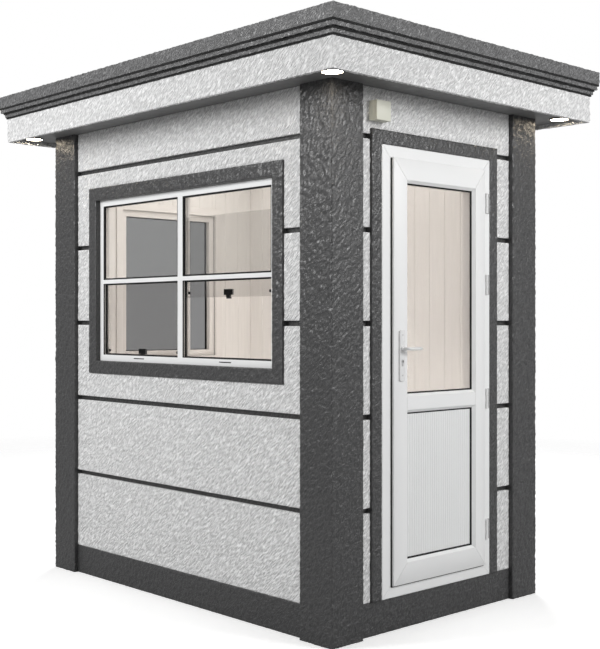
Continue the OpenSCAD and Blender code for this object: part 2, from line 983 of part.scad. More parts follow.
module frame_hinge() {
    plate_d = door_trim_set - hinge_d;
    outer_z = knuckle_h + knuckle_gap;
    translate([0, 0, -hinge_h / 2]) cylinder(h = hinge_h, r = hinge_pin_r);
    slab([knuckle_r + hinge_edge_gap, hinge_plate_w], [plate_d - hinge_plate_t, plate_d], [-hinge_h / 2, hinge_h / 2]);
    for (z = [-outer_z, outer_z])
        translate([0, 0, z - knuckle_h / 2]) {
            cylinder(h = knuckle_h, r = knuckle_r);
            slab([0, knuckle_r], [0, plate_d], [0, knuckle_h]);
            slab([0, knuckle_r + 2 * hinge_edge_gap], [plate_d - hinge_plate_t, plate_d], [0, knuckle_h]);
        }
}

module frame_hinges() {
    color("darkgray") right_side() at_hinges() frame_hinge();
}

module leaf_hinge() {
    translate([0, 0, -knuckle_h / 2]) difference() {
        union() {
            cylinder(h = knuckle_h, r = knuckle_r);
            slab([-knuckle_r - hinge_edge_gap, 0], [hinge_edge_gap, knuckle_r], [0, knuckle_h]);
        }
        translate([0, 0, -cut]) cylinder(h = knuckle_h + 2 * cut, r = hinge_pin_r + hinge_clear);
    }
}

module leaf_hinges() {
    color("darkgray") right_side() at_hinges() leaf_hinge();
}

// Handle: a plate and a lever on each face, on one spindle
module rounded_outline(w, h, r) {
    square([w, h - 2 * r], center = true);
    square([w - 2 * r, h], center = true);
    for (x = [-1, 1], y = [-1, 1])
        translate([x * (w / 2 - r), y * (h / 2 - r)]) circle(r);
}

module handle_plate(d) {
    translate([handle_u, d + plate_t, spindle_z - plate_up])
        rotate([90, 0, 0])
            linear_extrude(plate_t)
                rounded_outline(plate_w, plate_h, plate_corner_r);
}

module handle_plates() {
    color("whitesmoke") right_side() difference() {
        union() {
            handle_plate(plate_out_d);
            handle_plate(leaf_back_d);
        }
        spindle_bore();
        lock_hole();
    }
}

// One lever, standing out from its plate: a collar, a stem, a bend and a bar with a round end
module lever() {
    bar_d = lever_off + lever_r;
    translate([0, collar_gap, 0]) rotate([-90, 0, 0]) {
        cylinder(h = collar_t, r = collar_r);
        cylinder(h = bar_d - bend_r - collar_gap, r = lever_r);
    }
    translate([bend_r, bar_d - bend_r, 0])
        rotate([0, 0, 90])
            rotate_extrude(angle = 90)
                translate([bend_r, 0]) circle(lever_r);
    translate([bend_r, bar_d, 0])
        rotate([0, 90, 0])
            cylinder(h = lever_l - bend_r - lever_r, r = lever_r);
    translate([lever_l - lever_r, bar_d, 0]) sphere(lever_r);
}

module handle_levers() {
    color("whitesmoke") right_side() {
        rod(handle_u, spindle_z, [plate_out_d - collar_t, plate_in_d + collar_t], spindle_r);
        translate([handle_u, plate_in_d, spindle_z]) lever();
        translate([handle_u, plate_out_d, spindle_z]) mirror([0, 1, 0]) lever();
    }
}

// Lock cylinder, right through the leaf and both plates
module lock_cylinder() {
    color("silver") right_side() lock_section([plate_out_d - lock_out, plate_in_d + lock_out], 0);
}

// Junction box on the cladding over the door
module junction_box() {
    lid_d = clad_set - jbox_t + jbox_lid_t;
    u = [jbox_lo_u, jbox_lo_u + jbox_w];
    z = [jbox_lo, jbox_lo + jbox_h];
    color("beige") right_side() {
        slab(u, [clad_set - jbox_t, lid_d], z);
        slab(
            [u[0] + jbox_line, u[1] - jbox_line], [lid_d - cut, lid_d + jbox_line + cut],
            [z[0] + jbox_line, z[1] - jbox_line]
        );
        slab(u, [lid_d + jbox_line, clad_set], z);
    }
}

base_frame();
floor_panel();
floor_deck();
skirting();
post_front_left();
post_front_right();
post_back_left();
post_back_right();
front_wall();
left_wall();
back_wall();
right_wall_near();
right_wall_far();
right_wall_over();
front_cladding();
left_cladding();
back_cladding();
right_cladding();
long_linings();
short_linings();
ceiling();
soffit();
fascia_long();
fascia_short();
cornice_long();
cornice_short();
roof_panel();
roof_deck();
downlight_rims();
downlight_lenses();
window_architraves();
window_gaskets();
window_inner_trims();
front_window_frame();
front_window_panes();
front_window_sashes();
sash_fittings();
left_window_frame();
left_window_pane();
door_architrave();
door_frame();
frame_hinges();
leaf_frame();
leaf_glass();
leaf_panel();
leaf_gaskets();
leaf_hinges();
handle_plates();
handle_levers();
lock_cylinder();
junction_box();
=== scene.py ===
# %% [markdown]
# # Dressing a guard cabin in Blender
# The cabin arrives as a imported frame: named solids at their real places, on three bodies that
# move. This lesson adds what those plain solids lack, one finish and one piece at a time.
# Everything is in metres in the cabin's own frame: X runs towards the door, -Y towards the
# service window and Z up, with the origin on the ground under the middle of the cabin.

# %% Load the frame
import math

import bmesh
import bpy
import numpy as np
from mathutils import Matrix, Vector, noise


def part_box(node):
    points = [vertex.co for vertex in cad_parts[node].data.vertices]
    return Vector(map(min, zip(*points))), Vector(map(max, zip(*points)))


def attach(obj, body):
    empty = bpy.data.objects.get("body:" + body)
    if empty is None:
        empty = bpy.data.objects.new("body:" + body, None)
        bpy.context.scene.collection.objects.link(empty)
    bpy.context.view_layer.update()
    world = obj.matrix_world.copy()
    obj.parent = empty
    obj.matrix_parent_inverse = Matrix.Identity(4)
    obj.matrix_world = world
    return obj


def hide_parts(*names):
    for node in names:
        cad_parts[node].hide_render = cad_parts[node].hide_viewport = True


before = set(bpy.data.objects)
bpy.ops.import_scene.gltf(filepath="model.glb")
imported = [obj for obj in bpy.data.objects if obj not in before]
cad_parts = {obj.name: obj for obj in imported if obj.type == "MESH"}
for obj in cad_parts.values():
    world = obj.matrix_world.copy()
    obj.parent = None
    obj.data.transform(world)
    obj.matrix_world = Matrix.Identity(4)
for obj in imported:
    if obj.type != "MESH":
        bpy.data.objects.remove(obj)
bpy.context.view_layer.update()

# %% [markdown]
# ## The camera
# The photograph was taken level, from about eye height, so all the upright edges stay upright
# and only the level ones run together. A level camera with a small shift gives the same two
# vanishing points. Tilting the camera would be simpler, but it would lean the posts.

# %% Camera
picture_width = 600
picture_height = 649
focal_pixels = 1130.1
centre_column = 260.0
horizon_row = 320.15
film_width = 36.0
camera_place = (4.468, -4.204, 1.4045)
camera_heading = 47.92

camera_data = bpy.data.cameras.new("Camera")
camera_data.sensor_width = film_width
camera_data.lens = focal_pixels * film_width / picture_height
camera_data.shift_x = (picture_width / 2 - centre_column) / picture_height
camera_data.shift_y = (horizon_row - picture_height / 2) / picture_height
camera = bpy.data.objects.new("Camera", camera_data)
camera.location = camera_place
camera.rotation_euler = (math.radians(90), 0, math.radians(camera_heading))
bpy.context.scene.collection.objects.link(camera)
bpy.context.scene.camera = camera
bpy.context.scene.view_settings.view_transform = "Standard"
print(f"camera: {camera_data.lens:.1f} mm lens")

# %% [markdown]
# ## Node helpers
# A finish is a small graph of nodes behind one shader. Two helpers keep such graphs short: one
# adds a node and wires or sets its inputs, the other starts a material. Every piece's points are
# in the cabin's frame, so object coordinates are real metres and no unwrapping is needed.

# %% Add nodes and start finishes
def add_node(owner, kind, inputs=None, **settings):
    node = owner.node_tree.nodes.new("ShaderNode" + kind)
    for key, value in settings.items():
        setattr(node, key, value)
    for key, value in (inputs or {}).items():
        if isinstance(value, bpy.types.NodeSocket):
            owner.node_tree.links.new(value, node.inputs[key])
        else:
            node.inputs[key].default_value = value
    return node


def start_finish(name, **sockets):
    finish = bpy.data.materials.new(name)
    finish.use_nodes = True
    shader = finish.node_tree.nodes["Principled BSDF"]
    for key, value in sockets.items():
        shader.inputs[key.replace("_", " ")].default_value = value
    return finish, shader


def wire(finish, output, shader, socket):
    finish.node_tree.links.new(output, shader.inputs[socket])


print("node helpers ready")

# %% [markdown]
# Most finishes need the same three kinds of unevenness: a colour that drifts a little, a shine
# that isn't quite even, and a height for the fine relief. Each gets a helper that reads one noise
# pattern. A painted picture could do this too, but noise has no seams and works at any distance.

# %% Mottle, shine and relief
noise_low = 0.3
noise_high = 0.7


def grain(finish, scale, stretch=(1, 1, 1), detail=3.0):
    place = add_node(finish, "TexCoord").outputs["Object"]
    spread = add_node(finish, "Mapping", {"Vector": place, "Scale": stretch})
    pattern = {"Vector": spread.outputs["Vector"], "Scale": scale, "Detail": detail}
    return add_node(finish, "TexNoise", pattern).outputs["Fac"]


def mottle(finish, shader, pattern, colour, drift):
    ramp = add_node(finish, "ValToRGB", {"Fac": pattern})
    ends = zip(ramp.color_ramp.elements, (noise_low, noise_high), (1 - drift, 1 + drift))
    for end, place, share in ends:
        end.position = place
        end.color = (*[min(1, c * share) for c in colour], 1)
    wire(finish, ramp.outputs["Color"], shader, "Base Color")


def uneven_shine(finish, shader, pattern, low, high):
    span = {"Value": pattern, "From Min": noise_low, "From Max": noise_high, "To Min": low, "To Max": high}
    wire(finish, add_node(finish, "MapRange", span).outputs["Result"], shader, "Roughness")


def relief(finish, shader, pattern, height):
    bump = add_node(finish, "Bump", {"Height": pattern, "Distance": height})
    wire(finish, bump.outputs["Normal"], shader, "Normal")


def grained_finish(name, colour, drift, shine, height, grains, **sockets):
    """A finish whose colour, shine and relief each follow a grain of their own, [scale, stretch]."""
    finish, shader = start_finish(name, **sockets)
    tint, gloss, rise = (grain(finish, *pattern) for pattern in grains)
    mottle(finish, shader, tint, colour, drift)
    uneven_shine(finish, shader, gloss, *shine)
    relief(finish, shader, rise, height)
    return finish


print("mottle, shine and relief helpers ready")

# %% [markdown]
# ## Backdrop and light
# The cabin stands on a plain pale floor before white. A white room could be built round it, but
# the world does the same with less: it shows full white to the camera, lights the cabin more gently
# and is dimmer in reflections, so the walls keep their own colours and the lamps' glints stand out.

# %% Backdrop
white = (1, 1, 1, 1)
world = bpy.data.worlds.new("Studio")
world.use_nodes = True
bpy.context.scene.world = world


def when_seen(owner, unseen, mirrored, seen):
    """A value for light that only falls on the cabin, one for reflections and one for looking."""
    rays = add_node(owner, "LightPath").outputs
    looks = {0: rays["Is Camera Ray"], 1: rays["Is Transmission Ray"]}
    looks = add_node(owner, "Math", looks, operation="MAXIMUM").outputs[0]
    dim = {"Value": rays["Is Glossy Ray"], "To Min": unseen, "To Max": mirrored}
    dim = add_node(owner, "MapRange", dim).outputs["Result"]
    return add_node(owner, "MapRange", {"Value": looks, "To Min": dim, "To Max": seen}).outputs["Result"]


backdrop = world.node_tree.nodes["Background"]
backdrop.inputs["Color"].default_value = white
wire(world, when_seen(world, unseen=0.25, mirrored=0.45, seen=1.0), backdrop, "Strength")
print("world:", world.name)

# %% [markdown]
# The floor throws back less light than it shows, so that it doesn't wash out the eaves. An endless
# plane would meet the white in a line, so the floor is a disc that fades out before the horizon.

# %% Floor
floor_radius = 9.0
floor_drop = 0.001
fade_from = 2.4
fade_to = 0.9 * floor_radius
floor_finish, floor_shader = start_finish("Pale floor", Roughness=0.8, Emission_Color=white)
pale = when_seen(floor_finish, unseen=0.4, mirrored=0.5, seen=0.92)
glow = when_seen(floor_finish, unseen=0.0, mirrored=0.0, seen=0.36)
wire(floor_finish, pale, floor_shader, "Base Color")
wire(floor_finish, glow, floor_shader, "Emission Strength")
place = add_node(floor_finish, "TexCoord").outputs["Object"]
from_middle = add_node(floor_finish, "VectorMath", {0: place}, operation="LENGTH").outputs["Value"]
fade = {"Value": from_middle, "From Min": fade_from, "From Max": fade_to}
fade = add_node(floor_finish, "MapRange", fade)
clear = add_node(floor_finish, "BsdfTransparent")
blend = add_node(floor_finish, "MixShader", {0: fade.outputs["Result"], 1: floor_shader.outputs[0],
                                             2: clear.outputs[0]})
wire(floor_finish, blend.outputs[0], floor_finish.node_tree.nodes["Material Output"], "Surface")

floor_form = bmesh.new()
bmesh.ops.create_circle(floor_form, cap_ends=True, radius=floor_radius, segments=96)
floor_mesh = bpy.data.meshes.new("studio_floor")
floor_form.to_mesh(floor_mesh)
floor_form.free()
floor_mesh.materials.append(floor_finish)
floor = bpy.data.objects.new("studio_floor", floor_mesh)
floor.location.z = -floor_drop
bpy.context.scene.collection.objects.link(floor)
print("floor disc radius:", floor_radius)

# %% [markdown]
# Two soft lights stand high and to one side of the walls that they light, so that they rake
# across the plaster and bring out its relief without showing in the panes. Two small ones give the
# near corner its glints, and another fills the back. Two more, under the ceiling and over the
# floor, light the room, since it shows through the glass. Sun light would be simpler, but its hard
# shadows would stripe the walls under the eaves.

# %% Soft lights
def soft_light(name, place, aim, width, height, power, colour=(1, 1, 1)):
    lamp = bpy.data.lights.new(name, "AREA")
    lamp.shape = "RECTANGLE"
    lamp.size = width
    lamp.size_y = height
    lamp.energy = power
    lamp.color = colour
    holder = bpy.data.objects.new(name, lamp)
    holder.location = place
    direction = np.array(aim) - np.array(place)
    turn = math.atan2(direction[1], direction[0]) - math.pi / 2
    tilt = math.atan2(direction[2], math.hypot(direction[0], direction[1]))
    holder.rotation_euler = (math.pi / 2 + tilt, 0, turn)
    bpy.context.scene.collection.objects.link(holder)


soft_light("Front light", (-2.0, -5.7, 3.8), (0, -0.75, 1.6), 2.0, 3.0, 250)
soft_light("Door light", (5.9, 1.4, 3.55), (1.1, 0, 1.5), 1.8, 2.4, 162)
soft_light("Corner light", (4.4, -3.8, 3.2), (1.1, -0.75, 1.6), 1.0, 1.0, 34)
soft_light("Edge light", (4.5, 2.7, 3.0), (1.1, -0.75, 2.0), 0.5, 1.6, 20)
soft_light("Back light", (-4.0, 4.5, 4.0), (0, 0, 1.4), 2.4, 2.0, 240)
soft_light("Room light", (0, 0, 2.40), (0, 0.001, 0), 1.6, 1.0, 10, (1, 0.98, 0.96))
soft_light("Low room light", (0, 0, 0.25), (0, 0.001, 3), 1.6, 1.0, 13.5, (1, 0.98, 0.96))
print("lights:", len(bpy.data.lights))

# %% [markdown]
# ## Plaster
# Posts, trims and courses are coated in a coarse plaster, worked with a trowel on the slant and
# then painted: dark and slightly glossy on the posts, white and matt on the courses. The broad
# ripples are real geometry. What is finer than a few millimetres is a bump in the finish, which
# follows the same slanting strokes so that the two agree. The colour follows the strokes too, paler
# on them and darker in the hollows between: painted highlights and painted shade that sharpen the relief.

# %% Plaster finishes
def trowel_strokes(finish, across, along, detail=3.0):
    """Noise drawn out along the slanting strokes, with feature sizes in metres."""
    place = add_node(finish, "TexCoord").outputs["Object"]
    axes = [(1 / across, 1 / across, -1 / across), (1 / along,) * 3, (1 / along, -1 / along, 0)]
    parts = [add_node(finish, "VectorMath", {0: place, 1: axis}, operation="DOT_PRODUCT") for axis in axes]
    lined = add_node(finish, "CombineXYZ", {k: part.outputs["Value"] for k, part in enumerate(parts)})
    pattern = {"Vector": lined.outputs["Vector"], "Scale": 1.0, "Detail": detail}
    return add_node(finish, "TexNoise", pattern).outputs["Fac"]


stroke_detail = 1.5
shine_stroke = (0.02, 0.05)


def plaster_finish(name, colour, drift, shine, stroke, height, ridge):
    """Plaster with painted highlights on its strokes and painted shade between them; the strokes rise over
    the ridge, a part of the noise's range.
    """
    finish, shader = start_finish(name)
    strokes = trowel_strokes(finish, *stroke, stroke_detail)
    mottle(finish, shader, strokes, colour, drift)
    uneven_shine(finish, shader, trowel_strokes(finish, *shine_stroke), *shine)
    span = {"Value": strokes, "From Min": ridge[0], "From Max": ridge[1]}
    raised = add_node(finish, "MapRange", span, interpolation_type="SMOOTHSTEP")
    relief(finish, shader, raised.outputs["Result"], height)
    return finish


# The drift of each colour along the strokes is painted highlight and painted shade.
dark_plaster = plaster_finish("Dark plaster", (0.053, 0.053, 0.054), 0.3, (0.28, 0.36),
                              (0.0075, 0.022), 0.0013, (0.46, 0.68))
white_plaster = plaster_finish("White plaster", (0.85, 0.85, 0.852), 0.36, (0.62, 0.8),
                               (0.0078, 0.038), 0.004, (0.3, 0.7))
print("plaster finishes:", dark_plaster.name, "and", white_plaster.name)

# %% [markdown]
# The same slanting noise shapes the ripples. Any point on the cabin can be asked how far the
# plaster stands out there, so two boards that meet agree along their seam.

# %% Plaster ripples
ripple_height = 0.005
broad_sizes = (0.026, 0.062, 0.060)
fine_sizes = (0.0125, 0.031, 0.031)
broad_share = 0.35


def plaster_lift(points):
    lifts = []
    for x, y, z in points:
        slanted = (x + y - z, x + y + z, x - y)
        broad = noise.noise([s / size for s, size in zip(slanted, broad_sizes)])
        fine = noise.noise([s / size for s, size in zip(slanted, fine_sizes)])
        lifts.append(ripple_height * (broad_share * broad + (1 - broad_share) * fine))
    return np.array(lifts)


sample = plaster_lift(np.random.default_rng(1).random((500, 3)))
print(f"ripples reach {1000 * sample.min():.1f} to {1000 * sample.max():.1f} mm")

# %% [markdown]
# ## From points to pieces
# A piece is made from a net: a list of points and a list of faces. The helper turns all faces
# outward, smooths the gentle angles and keeps the sharp ones, puts on the finish, hangs the piece
# on the body that carries it and hides the plain solids that it stands for. Two more helpers
# join nets and skin the space between two copies of a section.

# %% Make a piece
def make_piece(name, points, faces, finish, slot, nodes=(), body="cabin", crease=35):
    mesh = bpy.data.meshes.new(name)
    mesh.from_pydata([tuple(map(float, p)) for p in points], [], faces)
    form = bmesh.new()
    form.from_mesh(mesh)
    bmesh.ops.recalc_face_normals(form, faces=form.faces)
    form.to_mesh(mesh)
    form.free()
    mesh.shade_smooth()
    mesh.set_sharp_from_angle(angle=math.radians(crease))
    mesh.materials.append(finish)
    piece = bpy.data.objects.new(name, mesh)
    bpy.context.scene.collection.objects.link(piece)
    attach(piece, body)
    if nodes:
        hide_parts(*nodes)
    print(f"{name}: {len(mesh.polygons)} faces")
    return piece


def together(nets):
    """Several nets as one."""
    points, faces = [], []
    for more_points, more_faces in nets:
        faces += [[k + len(points) for k in face] for face in more_faces]
        points += more_points
    return points, faces


def between(size):
    """Faces between two copies of a closed section, and one over each end."""
    sides = [[k, (k + 1) % size, size + (k + 1) % size, size + k] for k in range(size)]
    return sides + [[*range(size)], [*range(size, 2 * size)]]


print("piece helpers ready")

# %% [markdown]
# Each wall is drawn flat and then stood up. On a wall, u runs to the right as seen from outside,
# depth runs inward from the posts' face, and z is the height. The sizes come from the frame.

# %% Walls as flat drawings
def node_box(node):
    """A solid's lowest and highest corner, rounded to a hundredth of a millimetre."""
    return [Vector([round(v, 5) for v in corner]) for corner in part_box(node)]


post_low, post_high = node_box("post_front_right")
half_length = post_high.x
half_width = -post_low.y
post_width = post_high.x - post_low.x
soffit_height = post_high.z
skirt_height = node_box("skirting")[1].z
clad_depth = half_width + node_box("front_cladding")[0].y
core_depth = half_width + node_box("front_cladding")[1].y


def stand_up(side, u, depth, z):
    u, depth, z = np.broadcast_arrays(u, depth, z)
    if side == "front":
        return np.stack([u, depth - half_width, z], -1)
    if side == "right":
        return np.stack([half_length - depth, u, z], -1)
    if side == "back":
        return np.stack([-u, half_width - depth, z], -1)
    return np.stack([depth - half_length, -u, z], -1)


def drawn(side, section, heights):
    """A closed section of [u, depth], drawn up between two heights."""
    solid = [stand_up(side, u, depth, z).tolist() for z in heights for u, depth in section]
    return solid, between(len(section))


print(f"walls {2 * half_length:.2f} by {2 * half_width:.2f} m, courses {1000 * clad_depth:.0f} mm in")

# %% [markdown]
# A plastered board is a fine net over its face, with plain sides and back. The net's lines are
# the board's own edges, even lines between them, and one line close beside each edge, so the
# arris can be softened. Subdividing the whole box would spend most of its faces out of sight.

# %% Lines of a net
arris = 0.002


def net_lines(edges, step):
    lines = []
    for low, high in zip(edges, edges[1:]):
        lines.append(low)
        span = high - low - 4 * arris
        if span > 0:
            lines.extend(np.linspace(low + 2 * arris, high - 2 * arris, max(1, round(span / step)) + 1))
    return np.array(lines + [edges[-1]])


def covers(rectangle, u, z):
    return rectangle[0] < u < rectangle[1] and rectangle[2] < z < rectangle[3]


print("lines over 20 mm:", net_lines([0.0, 0.02], 0.005).round(3).tolist())

# %% [markdown]
# The edges of boards and holes cut a wall into cells, each of them solid or open, and the net
# covers the solid ones. Cutting the holes with a boolean would work too, but it leaves long thin
# triangles, which show in the ripples.

# %% Face of a board
def board_net(side, boards, holes, depths, step):
    edge_u = sorted({v for r in boards + holes for v in r[:2]})
    edge_z = sorted({v for r in boards + holes for v in r[2:]})
    mid_u = [(a + b) / 2 for a, b in zip(edge_u, edge_u[1:])]
    mid_z = [(a + b) / 2 for a, b in zip(edge_z, edge_z[1:])]
    solid = np.array([[any(covers(b, u, z) for b in boards) and not any(covers(h, u, z) for h in holes)
                       for z in mid_z] for u in mid_u])
    u = net_lines(edge_u, step)
    z = net_lines(edge_z, step)
    in_u = np.searchsorted(edge_u, (u[1:] + u[:-1]) / 2) - 1
    in_z = np.searchsorted(edge_z, (z[1:] + z[:-1]) / 2) - 1
    cells = solid[np.ix_(in_u, in_z)]
    ring = np.pad(cells, 1)
    touching = np.stack([ring[:-1, :-1], ring[1:, :-1], ring[:-1, 1:], ring[1:, 1:]])
    used = touching.any(0)
    rim = (used & ~touching.all(0))[used]
    number = np.full(used.shape, -1)
    number[used] = np.arange(used.sum())
    grid_u, grid_z = (g[used] for g in np.meshgrid(u, z, indexing="ij"))
    lift = plaster_lift(stand_up(side, grid_u, depths[0], grid_z))
    depth = depths[0] - np.where(rim, lift / 2 - arris, lift)
    points = stand_up(side, grid_u, depth, grid_z).tolist()
    i, j = np.nonzero(cells)
    faces = np.stack([number[i, j], number[i + 1, j], number[i + 1, j + 1], number[i, j + 1]], 1).tolist()
    back_and_sides(side, solid, (edge_u, edge_z), (u, z), number, depths[1], points, faces)
    return points, faces


print("a board's rim is set back by", arris, "m")

# %% [markdown]
# The sides and the back of a board hardly show, so they are plain: one face to each stretch of edge.
# They share the rim points of the net, which keeps the board closed.

# %% Back and sides of a board
def back_and_sides(side, solid, edges, lines, number, back_depth, points, faces):
    at_u, at_z = (np.searchsorted(line, edge) for line, edge in zip(lines, edges))
    backs = {}

    def back(corner):
        if corner not in backs:
            backs[corner] = len(points)
            points.append(stand_up(side, edges[0][corner[0]], back_depth, edges[1][corner[1]]).tolist())
        return backs[corner]

    def run(start, end):
        i = at_u[start[0]], at_u[end[0]]
        j = at_z[start[1]], at_z[end[1]]
        count = max(abs(i[1] - i[0]), abs(j[1] - j[0]))
        return [int(number[i[0] + (i[1] - i[0]) * k // count, j[0] + (j[1] - j[0]) * k // count])
                for k in range(count + 1)]

    ring = np.pad(solid, 1)
    for a, b in zip(*(axis.tolist() for axis in np.nonzero(solid))):
        corners = [(a, b), (a + 1, b), (a + 1, b + 1), (a, b + 1)]
        beyond = [ring[a + 1, b], ring[a + 2, b + 1], ring[a + 1, b + 2], ring[a, b + 1]]
        faces.append([back(c) for c in reversed(corners)])
        for start, end, filled in zip(corners, corners[1:] + corners[:1], beyond):
            if not filled:
                faces.append(run(start, end) + [back(end), back(start)])


print("board nets ready")

# %% [markdown]
# ## The courses
# Each wall is clad in six level courses with a dark groove between them. Cutting grooves into one
# big sheet would need sharp creases in the net, so each course is a board of its own, and the
# dark core shows between them. The windows' and the door's trims leave holes in the courses.

# %% Courses and openings
groove_height = 0.024
first_groove = 0.560
course_pitch = 0.415
window_trim = 0.068
door_trim = 0.064

course_heights = []
course_low = skirt_height
groove = first_groove
while groove + groove_height < soffit_height:
    course_heights.append((course_low, groove - groove_height / 2))
    course_low = groove + groove_height / 2
    groove += course_pitch
course_heights.append((course_low, soffit_height))

long_half = half_length - post_width
short_half = half_width - post_width
front_low, front_high = node_box("front_window_frame")
left_low, left_high = node_box("left_window_frame")
door_low, door_high = node_box("door_frame")
front_hole = (front_low.x, front_high.x, front_low.z, front_high.z)
left_hole = (-left_high.y, -left_low.y, left_low.z, left_high.z)
door_hole = (door_low.y, door_high.y, skirt_height, door_high.z)


def grown(hole, trim, trim_below=True):
    low = hole[2] - trim if trim_below else hole[2]
    return (hole[0] - trim, hole[1] + trim, low, hole[3] + trim)


def courses(half):
    return [(-half, half, low, high) for low, high in course_heights]


print("courses:", [f"{low:.3f} to {high:.3f}" for low, high in course_heights])

# %% [markdown]
# The front and the door wall show the most, with the window, the door and their trims, so their
# nets are the finest. One step for all walls would be simpler, but it would spend as many faces on
# the plain back wall.

# %% Clad the four walls
near_step = 0.0056
side_step = 0.008
back_step = 0.010
walls = {
    "front": (long_half, [grown(front_hole, window_trim)], near_step),
    "right": (short_half, [grown(door_hole, door_trim, False)], near_step),
    "back": (long_half, [], back_step),
    "left": (short_half, [grown(left_hole, window_trim)], side_step),
}
for side, (half, holes, step) in walls.items():
    net = board_net(side, courses(half), holes, (clad_depth, core_depth), step)
    make_piece(f"{side}_courses", *net, white_plaster, "white_plaster", [f"{side}_cladding"])

# %% [markdown]
# ## Skirting and trims
# Dark plastered boards run along the foot of the walls and round each opening. They are made as
# the courses are. The trims round the windows are one ring each, because the plaster runs
# unbroken round the corners, and the door's trim stands on the skirting.

# %% Skirting and trims
skirt_step = 0.007
window_trim_depth = half_width + node_box("window_architraves")[0].y
door_trim_depth = half_length - node_box("door_architrave")[1].x
skirts = [board_net(side, [(-half, half, 0.0, skirt_height)], [], (clad_depth, core_depth), skirt_step)
          for side, (half, _, _) in walls.items()]
make_piece("skirting_boards", *together(skirts), dark_plaster, "dark_plaster", ["skirting"])
trims = [board_net(side, [grown(hole, window_trim)], [hole], (window_trim_depth, core_depth), near_step)
         for side, hole in (("front", front_hole), ("left", left_hole))]
make_piece("window_trims", *together(trims), dark_plaster, "dark_plaster", ["window_architraves"])
net = board_net("right", [grown(door_hole, door_trim, False)], [door_hole], (door_trim_depth, core_depth),
                near_step)
make_piece("door_trim", *net, dark_plaster, "dark_plaster", ["door_architrave"])

# %% [markdown]
# ## Corner posts
# A post is an angle of two plastered faces. Its outline is followed from one return, round the
# rounded corner, to the other return, and drawn up to the soffit. Walking along the outline
# keeps the ripples unbroken round the corner, which two flat boards could not do.

# %% Outline of a post
corner_radius = 0.004


def post_outline(step):
    """Points [x, y, normal x, normal y, share of the ripples] for the corner where x and y are positive."""
    start, end = half_length - post_width, half_length - corner_radius
    run = net_lines([start, end], step)[1:]
    face = [(x, half_width, 0, 1, 1) for x in run]
    back = [(half_length, y, 1, 0, 1) for y in half_width - half_length + run[::-1]]
    bend = []
    for angle in np.radians([67.5, 45, 22.5]):
        across, up = math.cos(angle), math.sin(angle)
        bend.append((end + corner_radius * across, half_width - corner_radius * (1 - up), across, up, 1))
    hidden = half_width - core_depth
    near = [(start, hidden, -1, 0, 0), (start, half_width - 2 * arris, -1, 0, 0.5)]
    low = half_width - post_width
    far = [(half_length - 2 * arris, low, 0, -1, 0.5), (half_length - core_depth, low, 0, -1, 0)]
    return np.array(near + face + bend + back + far)


print("points round a post:", len(post_outline(0.0065)))

# %% [markdown]
# The outline is repeated at each height of the net, and each point then moves out along its own
# normal by as much as the plaster stands out there. The posts that show most have the finest nets.

# %% Posts
def plaster_post(name, side_x, side_y, step):
    outline = post_outline(step) * (side_x, side_y, side_x, side_y, 1)
    heights = net_lines([0.0, soffit_height], step)
    rows, columns = len(outline), len(heights)
    flat = np.concatenate([np.repeat(outline, columns, 0)[:, :2], np.tile(heights, rows)[:, None]], 1)
    lift = plaster_lift(flat) * np.repeat(outline[:, 4], columns)
    flat[:, :2] += np.repeat(outline[:, 2:4], columns, 0) * lift[:, None]
    points = flat.tolist()
    inner = (side_x * (half_length - core_depth), side_y * (half_width - core_depth))
    foot, head = len(points), len(points) + 1
    points += [[*inner, 0.0], [*inner, soffit_height]]
    faces = [[k * columns + j, (k + 1) * columns + j, (k + 1) * columns + j + 1, k * columns + j + 1]
             for k in range(rows - 1) for j in range(columns - 1)]
    faces.append([*range(columns), head, foot])
    faces.append([*range((rows - 1) * columns, rows * columns), head, foot])
    faces.append([k * columns for k in range(rows)] + [foot])
    faces.append([(k + 1) * columns - 1 for k in range(rows)] + [head])
    make_piece(f"{name}_plaster", points, faces, dark_plaster, "dark_plaster", [name])


plaster_post("post_front_left", -1, -1, step=0.0065)
plaster_post("post_front_right", 1, -1, step=0.0055)
plaster_post("post_back_left", -1, 1, step=0.009)
plaster_post("post_back_right", 1, 1, step=0.0065)

# %% [markdown]
# ## Fascia and cornice
# Round the roof run a white fascia and, above it, a dark cornice in three steps. Each is one
# section carried round the four sides. A section point keeps its reach beyond the posts on
# every side, so the corners mitre by themselves. Four boards with cut ends would show a seam there.

# %% Section of a ring
ring_step = 0.0075


def section_net(corners, plain_edges):
    """Section points with their outward normals: fine on the edges that show, and plain on the rest."""
    pieces = []
    for k, (start, end) in enumerate(zip(corners, corners[1:] + corners[:1])):
        start, end = np.array(start), np.array(end)
        length = np.linalg.norm(end - start)
        along = [0.0, length] if k in plain_edges else net_lines([0.0, length], ring_step)
        direction = (end - start) / length
        normal = np.array([direction[1], -direction[0]])
        pieces += [(*(start + direction * t), *normal) for t in along[:-1]]
    net = np.array(pieces)
    turned = net[:, 2:] + np.roll(net[:, 2:], 1, 0)
    net[:, 2:] = turned / np.linalg.norm(turned, axis=1)[:, None]
    return net


square = [(0.1, 0.0), (0.1, 0.1), (0.0, 0.1), (0.0, 0.0)]
print("points of a square section with two plain edges:", len(section_net(square, {1, 2})))

# %% Rings round the roof
def ring_points(reach, z, leg, share):
    """Points on one leg of the ring, at a share of the way from its first corner to its next."""
    signs = np.array([(-1, -1), (1, -1), (1, 1), (-1, 1)])
    span = np.array([half_length, half_width])
    start = signs[leg][:, None] * (span[:, None] + reach)
    end = signs[(leg + 1) % 4][:, None] * (span[:, None] + reach)
    level = start + (end - start) * share
    return np.stack([level[0], level[1], z], 1)


def ring_faces(count, size):
    """Faces of a closed ring of so many sections with so many points each."""
    return [[a * size + k, b * size + k, b * size + m, a * size + m]
            for a, b in zip(range(count), [*range(1, count), 0])
            for k, m in zip(range(size), [*range(1, size), 0])]


